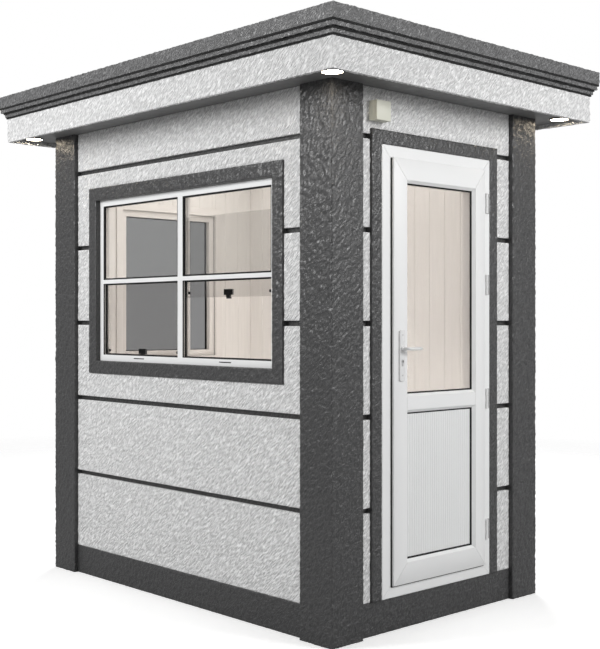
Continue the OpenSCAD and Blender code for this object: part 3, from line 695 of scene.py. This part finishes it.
def plain_ring(section):
    """A section of [reach, height] carried round the four corners without ripples."""
    reach, z = np.array(section).T
    ring = [point for leg in range(4) for point in ring_points(reach, z, leg, 0.0)]
    return ring, ring_faces(4, len(section))


def plaster_ring(name, corners, plain_edges, finish, slot, nodes):
    net = section_net(corners, plain_edges)
    reach, z, out, up = net.T
    points = []
    for leg in range(4):
        length = 2 * (half_length if leg % 2 == 0 else half_width)
        for share in np.linspace(0, 1, round(length / ring_step), endpoint=False):
            lift = plaster_lift(ring_points(reach, z, leg, share))
            points.extend(ring_points(reach + lift * out, z + lift * up, leg, share))
    make_piece(name, points, ring_faces(len(points) // len(net), len(net)), finish, slot, nodes)


print("faces of a plain square ring:", len(plain_ring(square)[1]))

# %% [markdown]
# The fascia is the white board that hides the roof's edge, and the cornice steps out over it to
# throw the rain clear. The steps could be three boards, but one section leaves no gaps between them.
# The cornice is the posts' dark plaster painted paler, as painted light from the sky, with stronger painted
# highlights on its strokes, so it is a finish of its own.

# %% Fascia and stepped cornice
fascia_thick = 0.020
fascia_low, fascia_high = node_box("fascia_long")
fascia_out = fascia_high.x - half_length
fascia_in = fascia_out - fascia_thick
fascia_corners = [(fascia_out, fascia_low.z), (fascia_out, fascia_high.z),
                  (fascia_in, fascia_high.z), (fascia_in, fascia_low.z)]
plaster_ring("fascia_boards", fascia_corners, {1, 2}, white_plaster, "white_plaster",
             ["fascia_long", "fascia_short"])

cornice_top = node_box("cornice_long")[1].z
step_reach = [0.206, 0.223, 0.230]
step_height = [fascia_high.z, 2.585, 2.612, cornice_top]
parapet_reach = 0.150
cornice_corners = []
for k, reach in enumerate(step_reach):
    cornice_corners += [(reach, step_height[k]), (reach, step_height[k + 1])]
cornice_corners += [(parapet_reach, cornice_top), (parapet_reach, fascia_high.z)]
# A paler copy of the dark plaster: painted light, with stronger painted highlights.
cornice_plaster_painted_light = plaster_finish("Cornice plaster", (0.14, 0.14, 0.142), 0.7, (0.28, 0.38),
                                 (0.0078, 0.03), 0.003, (0.4, 0.68))
plaster_ring("stepped_cornice", cornice_corners, {6, 7}, cornice_plaster_painted_light, "dark_plaster",
             ["cornice_long", "cornice_short"])

# %% [markdown]
# ## Roof covering
# Behind the cornice the roof is covered with sheets that overlap in level laps. Painted lines would
# vanish when seen along the roof, so each sheet has its lap as a real step over its neighbour.

# %% Roof sheets
deck_top = node_box("roof_deck")[1].z
sheet_thick = 0.003
sheet_width = 0.86
lap = 0.08
lap_slope = 0.010
roof_sheet = grained_finish("Roof sheet", (0.20, 0.20, 0.205), 0.1, (0.55, 0.75), 0.0008,
                            [(5.0,), (9.0,), (320.0,)])
roof_x = half_length + parapet_reach
roof_y = half_width + parapet_reach
joins = [-roof_x, *np.arange(sheet_width - roof_x, roof_x - lap, sheet_width).tolist(), roof_x]
sheets = []
for low, high in zip(joins, joins[1:]):
    over = max(low - lap, -roof_x)
    section = [(low, 0), (low, 1), (over, 1), (over, 2), (low, 2), (low + lap_slope, 1),
               (high, 1), (high, 0)]
    sheet = [(x, y, deck_top + sheet_thick * t) for y in (-roof_y, roof_y) for x, t in section]
    sheets.append((sheet, between(len(section))))
make_piece("roof_sheets", *together(sheets), roof_sheet, "roof_sheet")

# %% [markdown]
# A strip of folded metal closes the corner between the sheets and the parapet: one leg stands up
# against the plaster, and an apron lies on the sheets. It could be bent from a plane by modifiers,
# but its section has only seven points, so it is written down and carried round as a ring.

# %% Parapet flashing
metal = 0.0025
fold = 0.010
apron = 0.075
hem = 0.002
below_top = 0.012
plaster_room = 0.0045
foot = deck_top + 2 * sheet_thick
turn_up = cornice_top - below_top
against = parapet_reach - plaster_room
flashing = [(against, foot), (against, turn_up), (against - metal, turn_up), (against - metal, foot + fold),
            (against - fold, foot + metal), (against - apron, foot + metal), (against - apron - hem, foot)]
roof_metal = grained_finish("Roof metal", (0.34, 0.345, 0.35), 0.08, (0.4, 0.55), 0.0002,
                            [(7.0,), (25.0, (1, 1, 0.2)), (90.0,)], Metallic=0.4)
make_piece("parapet_flashing", *plain_ring(flashing), roof_metal, "roof_sheet")

# %% [markdown]
# ## Inside boards
# The room is lined with narrow upright boards that meet in fine V joints, and the ceiling with
# boards laid across it. Lines painted into a finish would do from afar, but the joints catch
# light from the door, so each board is a strip with two small slopes along its face.

# %% Upright boards
board_pitch = 0.105
joint = 0.0022
narrowest = 3 * joint
board_thick = 0.010
lining_depth = half_width + node_box("long_linings")[0].y
lining_face = lining_depth + board_thick
lining = grained_finish("Lining boards", (0.73, 0.70, 0.67), 0.035, (0.38, 0.5), 0.0002,
                        [(9.0, (6, 6, 0.4)), (14.0, (1, 1, 0.2)), (60.0, (8, 8, 0.3))],
                        Specular_IOR_Level=0.4)


def board_section(low, high, back, face):
    """A board seen from its end, with a small slope along both sides of its face."""
    slope = math.copysign(joint, back - face)
    return [(low, back), (low, face + slope), (low + joint, face),
            (high - joint, face), (high, face + slope), (high, back)]


def line_wall(side, half, hole=None):
    edges = set(np.arange(-half, half, board_pitch).round(4).tolist()) | {half}
    if hole:
        edges = {e for e in edges if min(abs(e - hole[0]), abs(e - hole[1])) > narrowest} | {*hole[:2]}
    edges = sorted(edges)
    boards = []
    for low, high in zip(edges, edges[1:]):
        spans = [(skirt_height, soffit_height)]
        if hole and hole[0] < (low + high) / 2 < hole[1]:
            spans = [(skirt_height, hole[2]), (hole[3], soffit_height)]
        section = board_section(low, high, lining_depth, lining_face)
        boards += [drawn(side, section, (bottom, top)) for bottom, top in spans if top - bottom > joint]
    return boards


long_run = half_length - lining_depth
short_run = half_width - lining_face
boards = line_wall("front", long_run, front_hole) + line_wall("back", long_run)
make_piece("long_wall_boards", *together(boards), lining, "lining", ["long_linings"])
boards = line_wall("left", short_run, left_hole) + line_wall("right", short_run, door_hole)
make_piece("short_wall_boards", *together(boards), lining, "lining", ["short_linings"])

# %% [markdown]
# The ceiling has the same boards, laid level from front to back. The helper for walls draws its
# boards upward, so here the same section is carried along the ceiling instead.

# %% Ceiling boards
ceiling_low, ceiling_high = node_box("ceiling")
edges = [*np.arange(ceiling_low.x, ceiling_high.x - joint, board_pitch).tolist(), ceiling_high.x]
boards = []
for low, high in zip(edges, edges[1:]):
    section = board_section(low, high, ceiling_high.z, ceiling_low.z)
    board = [(x, y, z) for y in (ceiling_low.y, ceiling_high.y) for x, z in section]
    boards.append((board, between(len(section))))
make_piece("ceiling_boards", *together(boards), lining, "lining", ["ceiling"])

# %% [markdown]
# ## White plastic profiles
# The door and the windows are welded from white plastic profiles. The plastic is smooth and
# satin, with hardly any grain, so its finish is a faint drift in colour and shine.

# %% Plastic and rubber finishes
def smooth_finish(name, colour, shine, drift=0.008, height=0.00004, **sockets):
    return grained_finish(name, colour, drift, shine, height, [(4.0,), (18.0,), (220.0,)], **sockets)


white_profile = smooth_finish("White profile", (0.87, 0.875, 0.875), (0.34, 0.42), 0.008, 0.00001)
rubber = smooth_finish("Gasket rubber", (0.022, 0.022, 0.022), (0.7, 0.85), 0.2, 0.0003,
                       Specular_IOR_Level=0.15)
black_fitting = smooth_finish("Black fitting", (0.018, 0.018, 0.018), (0.3, 0.45), 0.2)
print("finishes:", white_profile.name, rubber.name, black_fitting.name)

# %% [markdown]
# Under each step of the cornice, on the face below it, runs a black strip: a painted shadow line
# where the step stands out, which draws a fine line round the roof. A line painted into the plaster
# would do from afar, but a strip keeps its line at any angle, so each is a small square section carried
# round the four corners.

# %% Painted shadow lines
shadow_line_height = 0.008
shadow_line_out = 0.005
shadow_line_in = 0.003
shadow_line_bite = 0.001
beads = []
for reach, step in zip([fascia_out, *step_reach], step_height[:-1]):
    inner, outer = reach - shadow_line_in, reach + shadow_line_out
    low, high = step - shadow_line_height, step + shadow_line_bite
    beads.append(plain_ring([(inner, low), (outer, low), (outer, high), (inner, high)]))
make_piece("painted_shadow_lines", *together(beads), rubber, "black_rubber")

# %% [markdown]
# A welded frame is four bars with mitred ends and a hairline where they meet. Each bar carries
# the same section, given as points [distance in from the frame's outer edge, depth]. A point that
# lies further in gives a shorter line along the bar, and so the mitre comes out by itself.

# %% Mitred bars
mitre_gap = 0.001


def mitred_bars(side, limits, left, level=None, right=None):
    low_u, high_u, low_z, high_z = limits
    section = [*zip(left, level or left, right or left)]
    bars = []
    for edge in ("bottom", "top", "left", "right"):
        bar = []
        for end, gap in enumerate((mitre_gap, -mitre_gap)):
            for (in_left, depth), (in_z, _), (in_right, _) in section:
                corner_u = (low_u + in_left, high_u - in_right)
                corner_z = (low_z + in_z, high_z - in_z)
                if edge in ("bottom", "top"):
                    u, z = corner_u[end] + gap, corner_z[edge == "top"]
                else:
                    u, z = corner_u[edge == "right"], corner_z[end] + gap
                bar.append(stand_up(side, u, depth, z).tolist())
        bars.append((bar, between(len(section))))
    return together(bars)


print("mitred bars ready")

# %% [markdown]
# The door frame is a ring of such bars, flush with the trim, and its outer edges are softened. A box
# with a hole would be quicker, but it would lack the fine lines across the welded corners.

# %% Door frame
soft = 0.003
frame_width = 0.065
frame_thick = 0.065
frame_face = door_trim_depth
frame_back = frame_face + frame_thick
frame_section = [(0, frame_back), (0, frame_face + soft), (soft, frame_face),
                 (frame_width - soft, frame_face), (frame_width, frame_face + soft),
                 (frame_width, frame_back)]
net = mitred_bars("right", door_hole, frame_section)
make_piece("door_frame_bars", *net, white_profile, "white_pvc", ["door_frame"])

# %% [markdown]
# ## The door leaf
# The leaf is a ring of four bars with a lip that covers the frame's edge, and a middle rail
# between the stiles. Sloping beads in front and square stops behind hold the glass and the lower
# panel. On the real door the beads are strips clipped in afterwards, with a fine seam beside
# them, so they are separate bars here too.

# %% Sizes of the leaf
leaf_low, leaf_high = node_box("leaf_frame")
lock_edge_in = 0.008
leaf_limits = (leaf_low.y + lock_edge_in, leaf_high.y, leaf_low.z, leaf_high.z)
leaf_face = half_length - leaf_high.x
leaf_back = half_length - leaf_low.x
lip_thick = 0.010
lip_back = leaf_face + lip_thick
eased = 0.3 * soft
body_in = 0.020
lock_stile = 0.092
hinge_stile = 0.079
rail = 0.096
bead = 0.016
bead_seam = 0.0008
bead_foot = leaf_face + bead
mid_rail_foot = 0.789
mid_rail_top = 0.849
mid_rail = (leaf_low.z + mid_rail_foot, leaf_low.z + mid_rail_top)
between_stiles = (leaf_limits[0] + lock_stile, leaf_limits[1] - hinge_stile)
infill_heights = ((leaf_limits[2] + rail, mid_rail[0]), (mid_rail[1], leaf_limits[3] - rail))
for infill, (low, high) in zip(("panel", "glass"), infill_heights):
    print(f"the {infill} shows from {low:.3f} to {high:.3f} m")

# %% Leaf ring, middle rail and beads
def leaf_section(width):
    return [(body_in, lip_back), (0, lip_back), (0, leaf_face + soft), (eased, leaf_face + eased),
            (soft, leaf_face), (width, leaf_face), (width, leaf_back), (body_in, leaf_back)]


def hold_infill(heights, infill_back):
    """A ring of beads in front of the infill and a ring of stops behind it."""
    opening = (*between_stiles, *heights)
    front = [(0, leaf_face + bead_seam), (bead, bead_foot), (0, bead_foot)]
    stop = [(0, infill_back), (bead, infill_back), (bead, leaf_back), (0, leaf_back)]
    return [mitred_bars("right", opening, front), mitred_bars("right", opening, stop)]


ring = mitred_bars("right", leaf_limits, leaf_section(lock_stile), leaf_section(rail),
                   leaf_section(hinge_stile))
rail_low, rail_high = between_stiles[0] + mitre_gap, between_stiles[1] - mitre_gap
rail_section = [(rail_low, leaf_face), (rail_high, leaf_face),
                (rail_high, leaf_back), (rail_low, leaf_back)]
middle = drawn("right", rail_section, mid_rail)
glass_back = half_length - node_box("leaf_glass")[0].x
panel_back = half_length - node_box("leaf_panel")[0].x
holders = hold_infill(infill_heights[0], panel_back) + hold_infill(infill_heights[1], glass_back)
leaf_bars = make_piece("leaf_bars", *together([ring, middle, *holders]), white_profile, "white_pvc",
                       ["leaf_frame"], "door_leaf")

# %% [markdown]
# Rubber shows in two places: a thin line round the glass and the panel, and the weather seal
# behind the leaf's lip, which closes the gap to the frame and shows as a black line beside the door.
# Below the leaf and on its lock side the seal reaches out past the lip, so its black line there is
# also the lip's painted shadow. Both could be painted on the bars, but real strips keep their own fine
# shadows.

# %% Leaf seals
seal_shape = [(-0.003, -0.003), (0.003, 0.001), (0.004, 0.004), (-0.003, 0.004)]
seal_section = [(bead + u, bead_foot + depth) for u, depth in seal_shape]
seals = [mitred_bars("right", (*between_stiles, *heights), seal_section) for heights in infill_heights]
# On the lock side and below, the seal stands out past the lip as the lip's painted shadow.
seal_and_shadow_out = 0.005
seal_in = 0.002
seal_width = 0.012
seal_play = 0.0005
seal_foot = frame_face - seal_play
weather_limits = (leaf_limits[0] - seal_and_shadow_out, leaf_limits[1] - seal_in,
                  leaf_limits[2] - seal_and_shadow_out, leaf_limits[3] - seal_in)
weather_section = [(0, lip_back), (seal_width, lip_back), (seal_width, seal_foot), (0, seal_foot)]
seals.append(mitred_bars("right", weather_limits, weather_section))
make_piece("leaf_seals", *together(seals), rubber, "black_rubber", ["leaf_gaskets"], "door_leaf")

# %% [markdown]
# The lower panel is a white sheet with fine upright reeds. On the real sheet they are rolled in, so
# they are shallow, and the grooves between them are narrow and rounded. One long section follows
# all of them and is drawn up to the rail. A bump would be lighter, but it would stay flat at its ends.

# %% Reeded panel
reed_pitch = 0.016
reed_depth = 0.0022
reed_points = 12
groove_narrowing = 6
panel_low, panel_high = node_box("leaf_panel")
panel_front = half_length - panel_high.x
reed_count = round((panel_high.y - panel_low.y) / reed_pitch)
panel_u = np.linspace(panel_low.y, panel_high.y, reed_count * reed_points + 1)
wave = 0.5 + 0.5 * np.cos(np.linspace(0, 2 * math.pi * reed_count, len(panel_u)))
section = [*zip(panel_u, panel_front + reed_depth * wave ** groove_narrowing)]
section += [(panel_high.y, panel_back), (panel_low.y, panel_back)]
# A darker copy of the profiles' white: painted shade low on the door.
panel_white_painted_shade = smooth_finish("Panel white", (0.82, 0.825, 0.825), (0.36, 0.46), 0.008, 0.00001)
make_piece("reeded_panel", *drawn("right", section, (panel_low.z, panel_high.z)), panel_white_painted_shade, "white_pvc",
           ["leaf_panel"], "door_leaf")

# %% [markdown]
# ## Softened copies
# Some solids already have the right shape, only with edges that are too crisp: moulded plastic
# always has a small radius that catches the light. Such a solid is copied, its flat faces are
# merged back from triangles, and its longer outer edges are bevelled.

# %% Soften a solid
same_place = 1e-5
same_plane = math.radians(1)
sharp_angle = math.radians(40)
shortest_edge = 5


def soften(node, width, finish, slot, body="cabin", move=None):
    form = bmesh.new()
    form.from_mesh(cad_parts[node].data)
    bmesh.ops.remove_doubles(form, verts=form.verts, dist=same_place)
    bmesh.ops.dissolve_limit(form, angle_limit=same_plane, verts=form.verts, edges=form.edges)
    outer = [e for e in form.edges if e.is_manifold and e.is_convex
             and e.calc_face_angle() > sharp_angle and e.calc_length() > shortest_edge * width]
    bmesh.ops.bevel(form, geom=outer, offset=width, segments=2, profile=0.6, affect="EDGES",
                    clamp_overlap=True)
    points = [move(*v.co) if move else v.co[:] for v in form.verts]
    form.verts.index_update()
    faces = [[v.index for v in face.verts] for face in form.faces]
    form.free()
    return make_piece(f"{node}_soft", points, faces, finish, slot, [node], body, crease=30)


print("edges sharper than", round(math.degrees(sharp_angle)), "degrees are bevelled")

# %% [markdown]
# The window frames, inner trims, latches, hinges, handle plates and the junction box are made this
# way, each with its own radius. The latches are moved a little and the hinge plates slimmed, because
# the photograph shows them so. Modelling them anew would bring nothing more.

# %% Soften frames, fittings and the box
inner_trim = smooth_finish("Inner trim", (0.71, 0.675, 0.645), (0.35, 0.5))
hinge_metal = smooth_finish("Hinge metal", (0.24, 0.24, 0.245), (0.32, 0.5), 0.05, 0.0002, Metallic=0.5)
handle_white = smooth_finish("Handle white", (0.80, 0.80, 0.80), (0.2, 0.3))
box_beige = smooth_finish("Box beige", (0.67, 0.67, 0.58), (0.4, 0.55))
latch_shift = 0.012
hinge_axis = 0.327
knuckle_radius = 0.0085
knuckle_edge = hinge_axis + knuckle_radius
plate_edge = 0.362
plate_squeeze = 0.3


def latch_place(x, y, z):
    """The latches and stops sit a little to the left of their solids, as the photograph shows them."""
    return x - latch_shift, y, z


def slim_plate(x, y, z):
    """Only a slim strip of each hinge plate shows on the frame."""
    return (x, plate_edge - (plate_edge - y) * plate_squeeze, z) if y > knuckle_edge else (x, y, z)


front_frame = soften("front_window_frame", 0.0015, white_profile, "white_pvc")
left_frame = soften("left_window_frame", 0.0015, white_profile, "white_pvc")
soften("window_inner_trims", 0.002, inner_trim, "white_pvc")
soften("sash_fittings", 0.001, black_fitting, "black_plastic", move=latch_place)
frame_hinges = soften("frame_hinges", 0.0008, hinge_metal, "hinge_metal", move=slim_plate)
soften("leaf_hinges", 0.0008, handle_white, "hinge_metal", "door_leaf")
soften("handle_plates", 0.0015, handle_white, "handle_white", "door_leaf")
soften("junction_box", 0.004, box_beige, "box_beige")

# %% [markdown]
# Parts of the frames are another colour. Black rubber lines the reveal in front of each pane: a
# glazing seal, and painted shade over the rest of the reveal's depth. The drain slots are painted
# black inside as painted shade. The room side of windows and door has a beige film, and the hinges
# have white caps over their knuckles. They are picked out by place, so the frames stay whole and no
# thin strips have to be laid on.

# %% Paint by place
def paint(piece, finish, picked):
    """A second finish on the faces that a rule picks by their middle and their normal."""
    piece.data.materials.append(finish)
    painted = [p for p in piece.data.polygons if picked(p.center, p.normal)]
    for polygon in painted:
        polygon.material_index = len(piece.data.materials) - 1
    print(f"{piece.name}: {len(painted)} faces in {finish.name}")


print("painting helper ready")

# %% Seals, slots and room side
pane_front = half_width + node_box("front_window_panes")[0].y
left_pane_back = node_box("left_window_pane")[1].x + 0.001
window_face = half_width + front_low.y
frame_member = 0.037
reveal_in = frame_member / 2
slot_top = front_hole[2] + 0.8 * frame_member
slot_depths = (window_face + 0.0005, window_face + 0.0045)
seal_depths = (window_face + 0.002, pane_front + 0.002)
facing_out = 0.9


def in_reveal(middle, normal):
    across = front_hole[0] + reveal_in < middle.x < front_hole[1] - reveal_in
    upright = front_hole[2] + reveal_in < middle.z < front_hole[3] - reveal_in
    deep = seal_depths[0] < half_width + middle.y < seal_depths[1]
    return across and upright and deep and abs(normal.y) < facing_out


def in_slot(middle, normal):
    return slot_depths[0] < half_width + middle.y < slot_depths[1] and middle.z < slot_top


def on_left_room_side(middle, normal):
    return middle.x > left_pane_back


def on_front_room_side(middle, normal):
    return half_width + middle.y > seal_depths[1]


def on_leaf_room_side(middle, normal):
    return half_length - middle.x > glass_back


def on_knuckle(middle, normal):
    return middle.y < knuckle_edge


# Rubber in the reveal: a glazing seal, and painted shade over the rest of its depth.
paint(front_frame, rubber, in_reveal)
# Black inside the drain slots is painted shade.
paint(front_frame, black_fitting, in_slot)
paint(front_frame, inner_trim, on_front_room_side)
paint(left_frame, inner_trim, on_left_room_side)
paint(leaf_bars, inner_trim, on_leaf_room_side)
paint(frame_hinges, handle_white, on_knuckle)

# %% [markdown]
# ## Glass
# The fixed panes are clear, the sliding sashes and the door are faintly tinted, and the pane in the
# left wall is a smoky grey. Glass is the shader's transmission with the tint as its colour. A faint long
# wave in its surface bends reflections a little, as drawn glass does. A see-through mix would be
# simpler, but it wouldn't mirror more at a slant, as glass does.

# %% Glass finishes
def glass_finish(name, tint):
    finish, shader = start_finish(name, Base_Color=(*tint, 1), Roughness=0.0, IOR=1.25,
                                  Transmission_Weight=1.0)
    relief(finish, shader, grain(finish, 3.0, detail=1.0), 0.0004)
    return finish


clear_glass = glass_finish("Clear glass", (0.97, 0.98, 0.975))
sash_glass = glass_finish("Sash glass", (0.74, 0.735, 0.73))
door_glass = glass_finish("Door glass", (0.815, 0.81, 0.805))
grey_glass = glass_finish("Grey glass", (0.235, 0.235, 0.237))
print("glass:", clear_glass.name, sash_glass.name, door_glass.name, grey_glass.name)

# %% [markdown]
# ## Floors, roof and lamps
# The rest of the solids keep their shape and only need a finish: the hidden wall core that shows
# in the grooves, the painted steel base, the flecked floor sheet, the eaves board, the metal roof
# and the lit lenses of the downlights.

# %% Plain finishes
# The core's colour also drifts along the strokes, as painted highlight and painted shade.
wall_core = plaster_finish("Wall core", (0.03, 0.03, 0.03), 0.5, (0.35, 0.5),
                           (0.0105, 0.03), 0.002, (0.4, 0.7))
base_steel = smooth_finish("Base steel", (0.06, 0.06, 0.06), (0.35, 0.55), 0.15, 0.0004, Metallic=0.3)
eaves_board = smooth_finish("Eaves board", (0.17, 0.17, 0.17), (0.4, 0.55), 0.05, 0.0003)
lock_metal = smooth_finish("Lock metal", (0.62, 0.62, 0.62), (0.25, 0.4), 0.04, 0.0001, Metallic=0.5)
print("plain finishes:", wall_core.name, base_steel.name, eaves_board.name, lock_metal.name)

# %% [markdown]
# The floor covering is a sheet with fine flecks. The cells of a Voronoi pattern give flecks of much
# the same size all over, where plain noise would give clouds.

# %% Floor sheet
floor_sheet, floor_sheet_shader = start_finish("Floor sheet")
fleck = add_node(floor_sheet, "TexVoronoi", {"Vector": add_node(floor_sheet, "TexCoord").outputs["Object"],
                                             "Scale": 160.0})
mottle(floor_sheet, floor_sheet_shader, fleck.outputs["Distance"], (0.20, 0.185, 0.165), 0.2)
uneven_shine(floor_sheet, floor_sheet_shader, grain(floor_sheet, 12.0), 0.4, 0.55)
relief(floor_sheet, floor_sheet_shader, grain(floor_sheet, 300.0), 0.0002)
print("floor finish:", floor_sheet.name)

# %% [markdown]
# The downlights are on, so their lenses glow. A lamp behind each lens would light the eaves as well,
# but by day that light hardly shows, so the glow is enough.

# %% Lamp lens
lamp_lens, lamp_shader = start_finish("Lamp lens", Roughness=0.4, Emission_Color=(1.0, 0.86, 0.66, 1),
                                      Emission_Strength=32.0)
mottle(lamp_lens, lamp_shader, grain(lamp_lens, 150.0), (0.85, 0.82, 0.78), 0.04)
relief(lamp_lens, lamp_shader, grain(lamp_lens, 400.0), 0.0003)
print("finishes in all:", len(bpy.data.materials))

# %% [markdown]
# These solids already have the shape of the real pieces, so each gets its finish by name. Copies of
# them would look the same and only double the meshes.

# %% Put the finishes on the solids
dressing = {
    "base_frame": base_steel, "floor_panel": wall_core, "floor_deck": floor_sheet,
    "front_wall": wall_core, "left_wall": wall_core, "back_wall": wall_core,
    "right_wall_near": wall_core, "right_wall_far": wall_core, "right_wall_over": wall_core,
    "soffit": eaves_board, "roof_panel": roof_metal, "roof_deck": roof_metal,
    "downlight_rims": black_fitting, "downlight_lenses": lamp_lens,
    "window_gaskets": rubber,
    "front_window_panes": clear_glass, "front_window_sashes": sash_glass,
    "left_window_pane": grey_glass, "leaf_glass": door_glass,
    "lock_cylinder": lock_metal,
}
for node, finish in dressing.items():
    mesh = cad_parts[node].data
    mesh.materials.clear()
    mesh.materials.append(finish)
print("dressed solids:", len(dressing))

# %% [markdown]
# ## Handle and lock
# The lever is a bent rod with a rounded end, one on each face of the door. It is a circle carried
# along a path: straight out, round the bend and along the door. A curve object could do the same,
# but a list of rings lets the rod taper towards its tip.

# %% Round rods
def sweep(path, radii, sides=20):
    """A round rod along a path of points in one level plane, closed at both ends."""
    path = np.array(path)
    ahead = np.gradient(path, axis=0)
    ahead /= np.linalg.norm(ahead, axis=1)[:, None]
    across = np.stack([-ahead[:, 1], ahead[:, 0], 0 * ahead[:, 0]], 1)
    turns = np.arange(sides) * 2 * math.pi / sides
    rod = [place + radius * (math.cos(t) * side + math.sin(t) * np.array([0, 0, 1]))
           for place, side, radius in zip(path, across, radii) for t in turns]
    last = (len(path) - 1) * sides
    skin = [[a + j, a + sides + j, a + sides + (j + 1) % sides, a + (j + 1) % sides]
            for a in range(0, last, sides) for j in range(sides)]
    return rod, skin + [[*range(sides)], [*range(last, last + sides)]]


print("faces of a straight rod:", len(sweep([(0, 0, 0), (1, 0, 0)], [1, 1])[1]))

# %% Lever handles
spindle = (-0.306, 1.275)
plate_thick = 0.008
plate_sides = [(leaf_face - plate_thick, -1), (leaf_back + plate_thick, 1)]
collar_gap = 0.0005
collar_height = 0.007
collar_slope = 0.002
collar_radius = 0.012
lever_radius = 0.0075
tip_radius = 0.0008
lever_stand = 0.036
lever_length = 0.092
bend_radius = 0.016
rod_radius = 0.004
rod_out = 0.004


def lever_path(plate, out):
    """Places [u, depth, radius] from the plate to the lever's tip."""
    collar = [(0, collar_gap, collar_radius), (0, collar_height, collar_radius),
              (0, collar_height + collar_slope, lever_radius)]
    bend = [(bend_radius * (1 - math.cos(t)), lever_stand - bend_radius * (1 - math.sin(t)), lever_radius)
            for t in np.linspace(0, math.pi / 2, 9)]
    tip = [(lever_length - lever_radius * (1 - math.sin(t)), lever_stand,
            max(tip_radius, lever_radius * math.cos(t))) for t in np.linspace(0, math.pi / 2, 7)]
    return [(spindle[0] + u, plate + out * stand, radius) for u, stand, radius in collar + bend + tip]


rods = []
for plate, out in plate_sides:
    track = lever_path(plate, out)
    places = [stand_up("right", u, depth, spindle[1]) for u, depth, _ in track]
    rods.append(sweep(places, [radius for _, _, radius in track]))
rod_ends = [stand_up("right", spindle[0], plate + out * rod_out, spindle[1]) for plate, out in plate_sides]
rods.append(sweep(rod_ends, [rod_radius, rod_radius]))
make_piece("lever_rods", *together(rods), handle_white, "handle_white", ["handle_levers"],
           "door_handle", crease=40)

# %% [markdown]
# Each plate is held by two small screws. A screw head is a profile turned round its axis, with a
# socket in the middle. A bevelled cylinder would do for the head, but not for the socket.

# %% Screws
def turned(profile, u, plate, out, z, sides=20):
    """A profile of [radius, height over the plate] turned round a line that leaves the plate."""
    size = len(profile)
    turns = np.arange(sides) * 2 * math.pi / sides
    ring = [stand_up("right", u + radius * math.cos(t), plate + out * height,
                     z + radius * math.sin(t)).tolist()
            for t in turns for radius, height in profile]
    skin = [[k * size + j, (k + 1) % sides * size + j, (k + 1) % sides * size + j + 1, k * size + j + 1]
            for k in range(sides) for j in range(size - 1)]
    return ring, skin + [[k * size for k in range(sides)], [(k + 1) * size - 1 for k in range(sides)]]


screw_profile = [(0.0042, -0.0005), (0.0042, 0.0006), (0.0034, 0.0012), (0.0016, 0.0013), (0.0013, 0.0002)]
screw_heights = (1.338, 1.155)
screws = [turned(screw_profile, spindle[0], plate, out, z)
          for plate, out in plate_sides for z in screw_heights]
make_piece("plate_screws", *together(screws), lock_metal, "hinge_metal", (), "door_leaf")

# %% [markdown]
# The key slot is a dark disc over the lock cylinder, squeezed to an upright oval: painted shade
# for the depth of the slot. A slot cut into the cylinder would be truer, but it is too narrow to see into.

# %% Key slots
slot_profile = [(0.0052, -0.0005), (0.0052, 0.0003), (0.0046, 0.0006)]
slot_squeeze = 0.6
lock_drop = 0.057
lock_height = spindle[1] - lock_drop
lock_proud = 0.002
slots = []
for plate, out in plate_sides:
    ring, skin = turned(slot_profile, spindle[0], plate + out * lock_proud, out, lock_height)
    squeezed = [(x, spindle[0] + (y - spindle[0]) * slot_squeeze, z) for x, y, z in ring]
    slots.append((squeezed, skin))
make_piece("key_slots", *together(slots), black_fitting, "black_plastic", (), "door_leaf")
